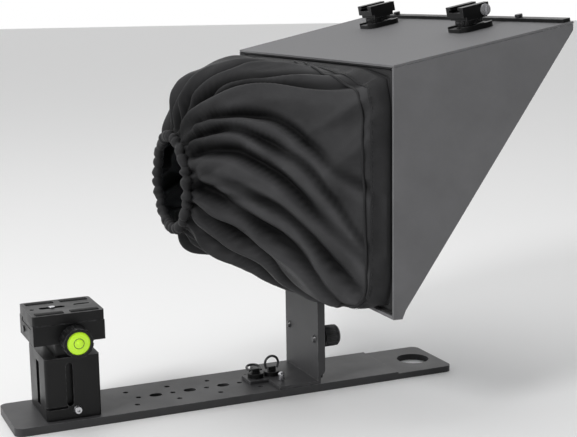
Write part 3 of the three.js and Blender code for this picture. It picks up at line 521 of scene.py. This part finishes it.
def stitches_tree():
    """Stitches that follow the edges of the mesh they are given."""
    tree, given, result = new_group(
        "Stitches Along A Seam",
        [("Geometry", "NodeSocketGeometry", None), ("Pitch", NUMBER, 0.0045),
         ("Stitch Length", NUMBER, 0.003), ("Thread Radius", NUMBER, 0.0003),
         ("Material", "NodeSocketMaterial", None)],
        [("Geometry", "NodeSocketGeometry")], "GeometryNodeTree")
    seam = place(tree, "GeometryNodeMeshToCurve", {"Mesh": given.outputs["Geometry"]})
    spots = place(tree, "GeometryNodeCurveToPoints", {"Curve": seam.outputs["Curve"],
                                                      "Length": given.outputs["Pitch"]}, mode="LENGTH")
    stitch = place(tree, "GeometryNodeMeshUVSphere", {"Segments": 6, "Rings": 5,
                                                      "Radius": given.outputs["Thread Radius"]})
    stretch = sums(tree, "DIVIDE", given.outputs["Stitch Length"],
                   sums(tree, "MULTIPLY", given.outputs["Thread Radius"], 2.0))
    scale = place(tree, "ShaderNodeCombineXYZ", {"X": 1.0, "Y": 1.0, "Z": stretch})
    drawn = place(tree, "GeometryNodeTransform", {"Geometry": stitch.outputs["Mesh"],
                                                  "Scale": scale.outputs[0]})
    repeat_on_points(tree, given, result, spots.outputs["Points"], drawn.outputs["Geometry"],
                     spots.outputs["Rotation"])
    return tree


def grown(name, tree, values, start=None, matrix=None):
    """Runs a Geometry Nodes tree and returns its result as a plain mesh object."""
    maker = object_of("maker_" + name, start or bpy.data.meshes.new("maker_" + name))
    modifier = maker.modifiers.new("tree", "NODES")
    modifier.node_group = tree
    for item in tree.interface.items_tree:
        if item.in_out == "INPUT" and item.name in values:
            modifier[item.identifier] = values[item.name]
    evaluated = maker.evaluated_get(bpy.context.evaluated_depsgraph_get())
    mesh = bpy.data.meshes.new_from_object(evaluated)
    maker.modifiers.remove(modifier)
    bpy.data.objects.remove(maker)
    mesh.name = name
    if matrix is not None:
        mesh.transform(matrix)
    return object_of(name, mesh)


# ---- Metalwork: the CAD parts with their edges rounded ----

BROAD_EDGES = ("base_plate", "riser_housing", "clamp_body", "clamp_jaw", "quick_release_plate")
SOFT_NODES = ("shroud", "shroud_cuff")
OWN_PIECES = ("bubble_level",)


def rounded_copy(node, edge):
    """A copy of a CAD node with merged vertices and rounded edges, which stands for the node."""
    mesh = NODES[node].data.copy()
    mesh.materials.clear()
    bm = bmesh.new()
    bm.from_mesh(mesh)
    bmesh.ops.remove_doubles(bm, verts=bm.verts, dist=2e-6)
    bmesh.ops.dissolve_limit(bm, angle_limit=math.radians(0.7), verts=bm.verts, edges=bm.edges)
    bm.to_mesh(mesh)
    bm.free()
    piece = object_of("fine_" + node, mesh)
    bevel = piece.modifiers.new("rounded edges", "BEVEL")
    bevel.width = edge
    bevel.segments = 2
    bevel.limit_method = "ANGLE"
    bevel.angle_limit = math.radians(28)
    bevel.harden_normals = True
    shade(mesh, 30.0)
    return piece


class TELEPROMPTER_OT_metalwork(bpy.types.Operator):
    """Round the edges of every rigid part and give it its finish"""
    bl_idname = "teleprompter.metalwork"
    bl_label = "Metalwork"

    def execute(self, context):
        edges = settings().edges
        for node, slot in SLOT_OF.items():
            if node in SOFT_NODES + OWN_PIECES:
                continue
            edge = edges.broad if node in BROAD_EDGES else edges.fine
            finish(rounded_copy(node, edge), BODY_OF[node], slot, [node])
        return {"FINISHED"}


class TELEPROMPTER_OT_bubble_level(bpy.types.Operator):
    """Make the round level in the end of the clamp knob"""
    bl_idname = "teleprompter.bubble_level"
    bl_label = "Bubble level"

    def execute(self, context):
        low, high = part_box("bubble_level")
        radius = (high.x - low.x) / 2
        depth = high.y - low.y
        centre = Vector(((low.x + high.x) / 2, high.y, (low.z + high.z) / 2))
        outward = Matrix.Translation(centre) @ Matrix.Rotation(math.radians(90), 4, "X")
        dome = 0.9 * MM
        steps = 7
        profile = [(0.0, 0.0), (radius, 0.0), (radius, depth - 0.4 * MM), (radius - 0.5 * MM, depth)]
        for i in range(1, steps):
            share = i / steps
            profile.append(((radius - 0.6 * MM) * (1 - share), depth + dome * math.sin(share * math.pi / 2)))
        profile.append((0.0, depth + dome))
        vial = lathe("level_vial", profile, 48, outward)
        finish(vial, BODY_OF["bubble_level"], "level", ["bubble_level"])
        ring_at = outward @ Matrix.Translation((0, 0, depth + 0.72 * MM))
        ring = ring_body("level_ring", radius * 0.44, 0.28 * MM, 48, 8, ring_at)
        finish(ring, BODY_OF["bubble_level"], "black_metal")
        bubble_at = outward @ Matrix.Translation((radius * 0.1, radius * 0.1, depth + 0.75 * MM))
        bubble = lathe("level_bubble", [(0.0, -0.5 * MM), (2.4 * MM, -0.3 * MM), (2.9 * MM, 0.0),
                                        (2.2 * MM, 0.3 * MM), (0.0, 0.45 * MM)], 32, bubble_at)
        finish(bubble, BODY_OF["bubble_level"], "level")
        return {"FINISHED"}


class TELEPROMPTER_OT_grips(bpy.types.Operator):
    """Make the ribs on the lock knob, the shoe wheels and the rubber strips"""
    bl_idname = "teleprompter.grips"
    bl_label = "Grips"

    def execute(self, context):
        ribs, rows = ribs_tree(), rows_tree()
        low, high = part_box("mast_lock_knob")
        grip_radius, grip_length, cap = (high.z - low.z) / 2, 11 * MM, 4.6 * MM
        at = Matrix.Translation((high.x - cap - grip_length / 2, (low.y + high.y) / 2, (low.z + high.z) / 2))
        self.grip("lock_knob_ribs", ribs, "mast_lock_knob", "anodised",
                  {"Count": 36, "Ring Radius": grip_radius - 0.5 * MM, "Rib Radius": 0.7 * MM,
                   "Rib Length": grip_length}, at @ Matrix.Rotation(math.radians(90), 4, "Y"))
        for side in ("left", "right"):
            low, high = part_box("shoe_wheel_" + side)
            at = Matrix.Translation((low + high) / 2) @ Matrix.Rotation(-ROOF_TILT, 4, "Y")
            self.grip("shoe_wheel_ribs_" + side, ribs, "shoe_wheel_" + side, "black_metal",
                      {"Count": 40, "Ring Radius": (high.y - low.y) / 2 - 0.35 * MM,
                       "Rib Radius": 0.5 * MM, "Rib Length": 3.2 * MM}, at)
        for index in range(1, 5):
            node = f"rubber_strip_{index}"
            low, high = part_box(node)
            size = high - low
            at = Matrix.Translation(((low.x + high.x) / 2, (low.y + high.y) / 2, high.z))
            self.grip(f"strip_ribs_{index}", rows, node, "rubber",
                      {"Count": 15, "Row Length": size.x - 2.0 * MM,
                       "Rib Size": (0.9 * MM, size.y - 0.8 * MM, 0.5 * MM)}, at)
        return {"FINISHED"}

    def grip(self, name, tree, node, slot, values, at):
        ribs = grown(name, tree, {**values, "Material": finish_of(slot)}, matrix=at)
        finish(ribs, BODY_OF[node], slot)


# ---- Shroud ----

def outline_at(points, turns):
    """Where rays at the given angles leave the convex outline of a set of section points."""
    middle = (points.max(0) + points.min(0)) / 2
    look = np.linspace(0, 2 * math.pi, 1440, endpoint=False)
    ways = np.stack([np.cos(look), np.sin(look)])
    support = ((points - middle) @ ways).max(axis=0)
    rays = np.stack([np.cos(turns), np.sin(turns)])
    facing = ways.T @ rays
    reach = np.where(facing > 1e-3, support[:, None] / np.maximum(facing, 1e-3), np.inf).min(axis=0)
    return middle + (reach * rays).T


def bag_grid(rows, columns):
    """Points of the smooth bag, from the hem to the cuff, taken from the CAD solid's sections."""
    solid = np.array([v.co for v in NODES["shroud"].data.vertices])
    turns = np.linspace(0, 2 * math.pi, columns, endpoint=False)
    rings = []
    for x in np.unique(np.round(solid[:, 0], 5))[::-1]:
        section = solid[np.abs(solid[:, 0] - x) < 1e-5][:, 1:]
        outline = outline_at(section, turns)
        rings.append(np.column_stack([np.full(columns, x), outline]))
    low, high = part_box("shroud_cuff")
    radius = (high.z - low.z) / 2 - 5.5 * MM
    cuff_z = (high.z + low.z) / 2
    rings.append(np.column_stack([np.full(columns, (low.x + high.x) / 2 + 1 * MM), radius * np.cos(turns),
                                  cuff_z + radius * np.sin(turns)]))
    rings = np.array(rings)
    steps = np.linalg.norm(np.diff(rings, axis=0), axis=2)
    grid = np.empty((rows + 1, columns, 3))
    for k in range(columns):
        along = np.concatenate([[0], np.cumsum(steps[:, k])])
        spots = np.linspace(0, along[-1], rows + 1)
        for axis in range(3):
            grid[:, k, axis] = np.interp(spots, along, rings[:, k, axis])
    for _ in range(5):
        grid[1:-1] = 0.5 * grid[1:-1] + 0.25 * (grid[:-2] + grid[2:])
        grid[1:-1] = 0.5 * grid[1:-1] + 0.25 * (np.roll(grid[1:-1], 1, 1) + np.roll(grid[1:-1], -1, 1))
    return grid


def grid_normals(grid):
    down = np.gradient(grid, axis=0)
    round_it = (np.roll(grid, -1, 1) - np.roll(grid, 1, 1)) / 2
    normal = np.cross(down, round_it)
    normal /= np.maximum(np.linalg.norm(normal, axis=2, keepdims=True), 1e-9)
    middle = grid.mean(axis=1, keepdims=True)
    if ((grid - middle) * normal).sum() < 0:
        normal = -normal
    return normal


# The long folds. Each row: bearing at the cuff and at the hem in degrees, height and width in millimetres.
# Bearings run from the left side (0) over the top (90) to the right side (180) and under the bag (270).
FOLDS = (
    (58, 62, 12, 7), (72, 84, 13, 7), (86, 103, 14, 7), (98, 122, 13, 6), (109, 139, 12, 6),
    (115, 152, 15, 7), (121, 187, 14, 6), (134, 199, 12, 6), (152, 208, 14, 7), (172, 218, 12, 6),
    (192, 229, 14, 7), (211, 244, 12, 6), (230, 260, 13, 7), (250, 276, 10, 7), (274, 292, 11, 7),
    (300, 312, 10, 7), (326, 330, 11, 7), (350, 345, 11, 7), (20, 12, 11, 7), (41, 37, 11, 7),
)
FOLD_BEND = 1.25              # how late a fold turns away from its bearing at the hem
FOLD_WANDER = 6.0             # degrees that a fold strays to either side
FOLD_REACH = 5                # widths beyond which a fold is left out
FOLD_BASE = 0.08              # share of its height taken off all round, so that the bag keeps its size
DEEPEST, TALLEST = -11 * MM, 10 * MM
CRUMPLE = 1.6 * MM
FADE_ROWS = 5                 # rows over which all folds fade out at the hem
CROWDED = 50 * MM             # from the cuff, where pleats stand close and shade one another


def fold_shape(u):
    """Height of a fold across it: a crest that falls steeply into a crease on one side."""
    crest = math.exp(-((u / 0.8) ** 2)) if u < 0 else math.exp(-((u / 1.7) ** 1.5))
    crease = math.exp(-(((u + 1.7) / 0.9) ** 2))
    return crest - 1.1 * crease


def fold_lift(turn, share, radius, strength):
    """Height of all long folds at a bearing, this share of the way to the cuff."""
    lift = 0.0
    for at_cuff, at_hem, height, width in FOLDS:
        path = at_hem + (at_cuff - at_hem) * share ** FOLD_BEND
        path += FOLD_WANDER * noise.noise((at_cuff, 4.0 * share, 2.0))
        apart = (math.degrees(turn) - path + 180) % 360 - 180
        u = math.radians(apart) * radius / (width * MM)
        if abs(u) < FOLD_REACH:
            swell = max(0.2, 0.75 + 0.9 * noise.noise((0.37 * at_cuff, 5.0 * share, 7.0)))
            lift += height * MM * strength * swell * (fold_shape(u) - FOLD_BASE)
    return lift


def gather(grid):
    """Draws the bag into pleats at the cuff and lays the long folds; also gives each spot a share of painted
    light, lower in fold valleys, near the cuff and over the top, for painted shade.
    """
    want = settings().shroud
    rows, columns = grid.shape[0], grid.shape[1]
    normal = grid_normals(grid)
    spot = np.linalg.norm(np.diff(grid, axis=0), axis=2)
    from_cuff = np.concatenate([np.cumsum(spot[::-1], axis=0)[::-1], np.zeros((1, columns))])
    middle = grid.mean(axis=1, keepdims=True)
    radius = np.linalg.norm((grid - middle)[:, :, 1:], axis=2)
    out = grid.copy()
    painted_light_share = np.ones((rows, columns))
    for k in range(columns):
        turn = 2 * math.pi * k / columns
        c, s = math.cos(turn), math.sin(turn)
        shift = 1.9 * noise.noise((2.6 * c, 2.6 * s, 3.1))
        uneven = 0.72 + 0.55 * noise.noise((4.3 * c, 4.3 * s, 9.7))
        for j in range(rows):
            d = from_cuff[j, k]
            share = j / (rows - 1)
            drift = 2.5 * d * noise.noise((1.7 * c, 1.7 * s, 14.0 * d))
            pleat = abs(math.sin((want.gathers * turn + 3.0 * shift + 6.0 * drift) / 2))
            lift = want.depth * uneven * (pleat - 0.6) * math.exp(-(d / want.reach) ** 1.3)
            strength = min(1.0, d / 0.012) * min(1.0, 0.12 + 1.15 * share) * min(1.0, j / 7)
            lift += fold_lift(turn, share, radius[j, k], strength)
            lift += CRUMPLE * noise.noise((7 * c + 2 * d, 7 * s, 22 * d)) * min(1.0, d / CROWDED)
            fade = min(1.0, j / FADE_ROWS) ** 1.5
            out[j, k] += normal[j, k] * max(DEEPEST, min(TALLEST, lift)) * fade
            # Painted shade: darker where a spot lies low in a fold valley.
            low = max(0.0, min(1.0, 0.85 + lift * fade / (9 * MM))) ** 1.8
            crowded_shade = math.exp(-(d / CROWDED) ** 2)
            # Painted shade: darker near the cuff and over the top of the bag.
            painted_light_share[j, k] = low * (1 - 0.6 * crowded_shade) * (1 - 0.35 * max(0.0, s))
    return out, painted_light_share


def cloth_uv(mesh, cells, pitch, rise):
    """Gives quads a UV map in metres; cells holds each face's place along the two ways of the sheet."""
    spots = []
    for u, v in cells:
        spots += [u * pitch, v * rise, (u + 1) * pitch, v * rise,
                  (u + 1) * pitch, (v + 1) * rise, u * pitch, (v + 1) * rise]
    mesh.uv_layers.new(name="cloth").data.foreach_set("uv", spots)


def cloth_mesh(name, grid):
    """A sheet of quads from a grid that closes on itself, with a UV map in metres."""
    rows, columns = grid.shape[0], grid.shape[1]
    cells = [(k, j) for j in range(rows - 1) for k in range(columns)]
    faces = []
    for k, j in cells:
        n = (k + 1) % columns
        faces.append((j * columns + k, j * columns + n, (j + 1) * columns + n, (j + 1) * columns + k))
    mesh = mesh_of(name, grid.reshape(-1, 3), faces)
    pitch = float(np.linalg.norm(np.diff(grid[0], axis=0), axis=1).mean())
    rise = float(np.linalg.norm(np.diff(grid, axis=0), axis=2).mean())
    cloth_uv(mesh, cells, pitch, rise)
    faces_outward(mesh)
    return mesh


def thicken(piece, thickness, offset=-1):
    wall = piece.modifiers.new("thickness", "SOLIDIFY")
    wall.thickness = thickness
    wall.offset = offset


SETTLING = 26                 # frames of cloth simulation
FARTHEST = 3.5 * MM           # how far the simulation may move the cloth


def settle(piece, grid_shape, cap):
    """Cloth simulation: the spare cloth falls into wrinkles between the hem and the cuff."""
    want = settings().shroud
    rows, columns = grid_shape
    rest = np.array([v.co for v in piece.data.vertices])
    pins = piece.vertex_groups.new(name="sewn")
    held = list(range(3 * columns)) + list(range((rows - 2) * columns, rows * columns))
    pins.add(held, 1.0, "REPLACE")
    cloth = piece.modifiers.new("cloth", "CLOTH")
    s = cloth.settings
    s.quality = 6
    s.mass = 0.25
    s.tension_stiffness = 18
    s.compression_stiffness = 18
    s.shear_stiffness = 8
    s.bending_stiffness = 0.35
    s.air_damping = 3
    s.vertex_group_mass = "sewn"
    s.shrink_min = -want.growth
    s.use_pressure = True
    s.uniform_pressure_force = 1.2
    s.effector_weights.gravity = 0.35
    cloth.collision_settings.use_collision = False
    cloth.collision_settings.use_self_collision = False
    cloth.point_cache.frame_start = 1
    cloth.point_cache.frame_end = SETTLING + 4
    for moment in range(1, SETTLING + 1):
        bpy.context.scene.frame_set(moment)
    evaluated = piece.evaluated_get(bpy.context.evaluated_depsgraph_get())
    moved = np.array([v.co for v in evaluated.data.vertices])
    piece.modifiers.remove(cloth)
    bpy.context.scene.frame_set(1)
    step = moved - rest
    far = np.linalg.norm(step, axis=1, keepdims=True)
    step *= np.minimum(1.0, cap / np.maximum(far, 1e-9))
    piece.data.vertices.foreach_set("co", (rest + step).ravel())
    piece.data.update()


class TELEPROMPTER_OT_shroud(bpy.types.Operator):
    """Make the gathered cloth bag, its elasticated cuff, its hem and the stitches"""
    bl_idname = "teleprompter.shroud"
    bl_label = "Shroud"

    def execute(self, context):
        want = settings().shroud
        smooth = bag_grid(want.rows, want.columns)
        pleated, painted_light_share = gather(smooth)
        mesh = cloth_mesh("shroud_bag", pleated)
        # Painted shade: each point's share of painted light goes into an attribute that darkens the bag's
        # cloth.
        mesh.attributes.new("fold", "FLOAT", "POINT").data.foreach_set("value", painted_light_share.ravel())
        mesh.materials.append(finish_of("shaded_bag_cloth"))
        bag = object_of("shroud_bag", mesh)
        settle(bag, (want.rows + 1, want.columns), FARTHEST)
        settled = np.array([v.co for v in bag.data.vertices]).reshape(want.rows + 1, want.columns, 3)
        finer = bag.modifiers.new("finer", "SUBSURF")
        finer.levels = finer.render_levels = 1
        thicken(bag, want.cloth)
        shade(bag.data, 180)
        finish(bag, BODY_OF["shroud"], "cloth", ["shroud"])
        extras = [self.cuff(), self.hem(settled), self.piping(settled), self.flap(settled),
                  self.stitches(settled)]
        return {"FINISHED"}

    def cuff(self):
        """The elastic's casing: a ring of small gathers with a scalloped rim."""
        low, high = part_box("shroud_cuff")
        centre = (low + high) / 2
        tube = (high.x - low.x) / 2
        radius = (high.z - low.z) / 2 - tube
        sides, around, scallops = 312, 14, 26
        points = np.empty((sides, around, 3))
        for i in range(sides):
            turn = 2 * math.pi * i / sides
            c, s = math.cos(turn), math.sin(turn)
            slip = 1.3 * noise.noise((3.2 * c, 3.2 * s, 1.0))
            puff = abs(math.sin((scallops * turn + 2.4 * slip) / 2)) ** 0.75
            fat = tube * (0.60 + 0.42 * puff + 0.14 * noise.noise((9 * c, 9 * s, 4.0)))
            lean = 1.6 * MM * noise.noise((6 * c, 6 * s, 7.0))
            for j in range(around):
                tilt = 2 * math.pi * j / around
                reach = radius + 1.2 * MM * (puff - 0.5) + fat * math.cos(tilt)
                points[i, j] = (centre.x + lean + 0.92 * fat * math.sin(tilt),
                                reach * c, centre.z + reach * s)
        mesh = mesh_of("cuff", points.reshape(-1, 3), tube_faces(sides, around))
        cloth_uv(mesh, [(i, j) for i in range(sides) for j in range(around)],
                 2 * math.pi * radius / sides, 2 * math.pi * tube / around)
        faces_outward(mesh)
        shade(mesh, 180)
        cuff = object_of("cuff", mesh)
        return finish(cuff, BODY_OF["shroud_cuff"], "cloth", ["shroud_cuff"])

    def band(self, settled, offset, start, width, steps):
        """A strip that lies on the bag just behind its hem."""
        normal = grid_normals(settled)
        spot = np.linalg.norm(np.diff(settled, axis=0), axis=2)
        along = np.concatenate([np.zeros((1, settled.shape[1])), np.cumsum(spot, axis=0)])
        strip = np.empty((steps + 1, settled.shape[1], 3))
        for k in range(settled.shape[1]):
            for i in range(steps + 1):
                d = start + width * i / steps
                for axis in range(3):
                    strip[i, k, axis] = (np.interp(d, along[:, k], settled[:, k, axis])
                                         + offset * np.interp(d, along[:, k], normal[:, k, axis]))
        return strip

    def hem(self, settled):
        want = settings().shroud
        mesh = cloth_mesh("hem", self.band(settled, 1.1 * MM, 4 * MM, want.hem, 5))
        hem = object_of("hem", mesh)
        thicken(hem, 1.3 * MM)
        soft = hem.modifiers.new("soft", "BEVEL")
        soft.width = 0.4 * MM
        soft.segments = 2
        shade(mesh, 60)
        return finish(hem, BODY_OF["shroud"], "cloth")

    def piping(self, settled):
        """A piped edge just behind the hem's band, which runs closer to the band under the bag."""
        steps, around, radius = 8, 8, 1.3 * MM
        seam = self.band(settled, 0.6 * MM, 25 * MM, 7 * MM, steps)
        columns = settled.shape[1]
        points = []
        low, high = settled[:, :, 2].min(), settled[:, :, 2].max()
        path = np.empty((columns, 3))
        for k in range(columns):
            share = (settled[6, k, 2] - low) / (high - low)
            path[k] = seam[round(steps * share), k]
        for _ in range(3):
            path = 0.5 * path + 0.25 * (np.roll(path, 1, 0) + np.roll(path, -1, 0))
        middle = path.mean(axis=0)
        for k in range(columns):
            ahead = Vector(path[(k + 1) % columns] - path[k - 1]).normalized()
            out = Vector(path[k] - middle)
            out = (out - ahead * out.dot(ahead)).normalized()
            side = ahead.cross(out)
            for i in range(around):
                turn = 2 * math.pi * i / around
                points.append(Vector(path[k]) + radius * (math.cos(turn) * out + math.sin(turn) * side))
        mesh = mesh_of("hem_piping", points, tube_faces(columns, around))
        layer = mesh.uv_layers.new(name="cloth")
        layer.data.foreach_set("uv", [0.0] * (2 * len(mesh.loops)))
        faces_outward(mesh)
        shade(mesh, 180)
        return finish(object_of("hem_piping", mesh), BODY_OF["shroud"], "cloth")

    def flap(self, settled):
        """The loop-faced edge that turns outward inside the hood and presses on its hook strips."""
        columns = settled.shape[1]
        start = self.band(settled, 0.0, 2 * MM, 2 * MM, 1)[0]
        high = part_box("hook_strip_bottom")[1]
        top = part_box("hook_strip_top")[0].z
        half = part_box("hook_strip_left")[0].y - 0.5 * MM
        floor = high.z + 0.3 * MM
        middle, reach = (top + floor) / 2, (top - floor) / 2
        square = 60   # the higher, the sharper the corners of the flap's outline
        edge = np.empty((columns, 3))
        for k in range(columns):
            turn = 2 * math.pi * k / columns
            c, s = math.cos(turn), math.sin(turn)
            bearing = math.atan2(s / reach, c / half)
            c, s = math.cos(bearing), math.sin(bearing)
            out = (abs(c) ** square + abs(s) ** square) ** (-1 / square)
            edge[k] = (high.x - 2 * MM, half * out * c, middle + reach * out * s)
        grid = np.stack([start + (edge - start) * i / 4 for i in range(5)])
        mesh = cloth_mesh("hem_flap", grid)
        flap = object_of("hem_flap", mesh)
        thicken(flap, 0.8 * MM, 0)
        shade(mesh, 60)
        return finish(flap, BODY_OF["shroud"], "cloth")

    def stitches(self, settled):
        want = settings().shroud
        seam = self.band(settled, 1.2 * MM, 4 * MM + want.hem - 2 * MM, 1 * MM, 1)[0]
        columns = seam.shape[0]
        path = bpy.data.meshes.new("seam")
        path.from_pydata([tuple(p) for p in seam], [(i, (i + 1) % columns) for i in range(columns)], [])
        made = grown("hem_stitches", stitches_tree(),
                     {"Pitch": want.stitch, "Stitch Length": 3.0 * MM, "Thread Radius": 0.3 * MM,
                      "Material": finish_of("thread")}, path)
        return finish(made, BODY_OF["shroud"], "thread")


# ---- Stage ----

KEY_PLACE, KEY_SIZE = (-2.1, -0.9, 1.7), 0.8
TOP_PLACE, TOP_SIZE = (-0.2, 0.3, 2.4), 2.0


def soft_light(name, power, size, spot, aim):
    lamp = bpy.data.lights.new(name, "AREA")
    lamp.energy = power
    lamp.shape = "DISK"
    lamp.size = size
    made = bpy.data.objects.new(name, lamp)
    made.location = spot
    made.rotation_mode = "QUATERNION"
    made.rotation_quaternion = (Vector(aim) - Vector(spot)).to_track_quat("-Z", "Y")
    bpy.context.scene.collection.objects.link(made)


class TELEPROMPTER_OT_stage(bpy.types.Operator):
    """Make the floor, the camera and the studio light"""
    bl_idname = "teleprompter.stage"
    bl_label = "Stage"

    def execute(self, context):
        want = settings().stage
        scene = context.scene
        scene.view_settings.view_transform = "Standard"
        self.floor(want)
        self.world(want)
        middle = (CAD_BOX[0] + CAD_BOX[1]) / 2
        soft_light("key light", want.key, KEY_SIZE, KEY_PLACE, middle)
        soft_light("top light", want.top, TOP_SIZE, TOP_PLACE, middle)
        lens = bpy.data.cameras.new("camera")
        lens.lens = want.lens
        lens.sensor_width = 36
        lens.clip_start = 0.05
        camera = bpy.data.objects.new("camera", lens)
        back = Vector((math.sin(want.azimuth) * math.cos(want.elevation),
                       -math.cos(want.azimuth) * math.cos(want.elevation), math.sin(want.elevation)))
        right = (-back).cross(Vector((0, 0, 1))).normalized()
        up = right.cross(-back)
        side = right * math.cos(want.roll) + up * math.sin(want.roll)
        top = up * math.cos(want.roll) - right * math.sin(want.roll)
        turn = Matrix((side, top, back)).transposed()
        camera.matrix_world = Matrix.Translation(want.place) @ turn.to_4x4()
        scene.collection.objects.link(camera)
        scene.camera = camera
        return {"FINISHED"}

    def floor(self, want):
        sides, size, level = 64, 14.0, CAD_BOX[0].z
        points = [(size * math.cos(2 * math.pi * i / sides), size * math.sin(2 * math.pi * i / sides), level)
                  for i in range(sides)]
        floor = object_of("floor", mesh_of("floor", points, [tuple(range(sides))]))
        shader = start_material("floor")[1]
        shader.inputs["Base Color"].default_value = (*want.floor, 1.0)
        shader.inputs["Roughness"].default_value = 0.7
        floor.data.materials.append(finish_of("floor"))

    def world(self, want):
        """Pale surroundings, dimmer on the camera's side."""
        world = bpy.data.worlds.new("studio")
        bpy.context.scene.world = world
        world.use_nodes = True
        tree = world.node_tree
        ground = next(n for n in tree.nodes if n.type == "BACKGROUND")
        way = place(tree, "ShaderNodeTexCoord").outputs["Generated"]
        split = place(tree, "ShaderNodeSeparateXYZ", {0: way})
        level = place(tree, "ShaderNodeMapRange",
                      {"Value": split.outputs["Y"], "From Min": -0.7, "From Max": 0.35,
                       "To Min": want.front, "To Max": want.back}, interpolation_type="SMOOTHSTEP")
        ground.inputs["Color"].default_value = (1.0, 1.0, 1.0, 1.0)
        tree.links.new(level.outputs[0], ground.inputs["Strength"])


class TeleprompterSettings(bpy.types.PropertyGroup):
    """All the teleprompter's settings."""
    finishes: PointerProperty(name="Finishes", description="Colours", type=TeleprompterFinishes)
    shroud: PointerProperty(name="Shroud", description="Cloth", type=TeleprompterShroud)
    edges: PointerProperty(name="Edges", description="Edge radii", type=TeleprompterEdges)
    stage: PointerProperty(name="Stage", description="Camera and light", type=TeleprompterStage)


OPERATORS = (TELEPROMPTER_OT_metalwork, TELEPROMPTER_OT_bubble_level, TELEPROMPTER_OT_grips,
             TELEPROMPTER_OT_shroud, TELEPROMPTER_OT_stage)


class TELEPROMPTER_PT_panel(bpy.types.Panel):
    """Lists the teleprompter's operators and settings"""
    bl_idname = "TELEPROMPTER_PT_panel"
    bl_label = "Teleprompter"
    bl_space_type = "VIEW_3D"
    bl_region_type = "UI"
    bl_category = "Teleprompter"

    def draw(self, context):
        for operator in OPERATORS:
            self.layout.operator(operator.bl_idname)
        for group in ("finishes", "shroud", "edges", "stage"):
            column = self.layout.column(heading=group.capitalize())
            values = getattr(context.scene.teleprompter, group)
            for name in values.__annotations__:
                column.prop(values, name)


CLASSES = (TeleprompterFinishes, TeleprompterShroud, TeleprompterEdges, TeleprompterStage,
           TeleprompterSettings, *OPERATORS, TELEPROMPTER_PT_panel)


def register():
    for each in CLASSES:
        bpy.utils.register_class(each)
    bpy.types.Scene.teleprompter = PointerProperty(type=TeleprompterSettings)


def unregister():
    del bpy.types.Scene.teleprompter
    for each in reversed(CLASSES):
        bpy.utils.unregister_class(each)


def main():
    register()
    make_finishes()
    bpy.ops.teleprompter.stage()
    bpy.ops.teleprompter.metalwork()
    bpy.ops.teleprompter.bubble_level()
    bpy.ops.teleprompter.grips()
    bpy.ops.teleprompter.shroud()


if __name__ == "__main__":
    main()
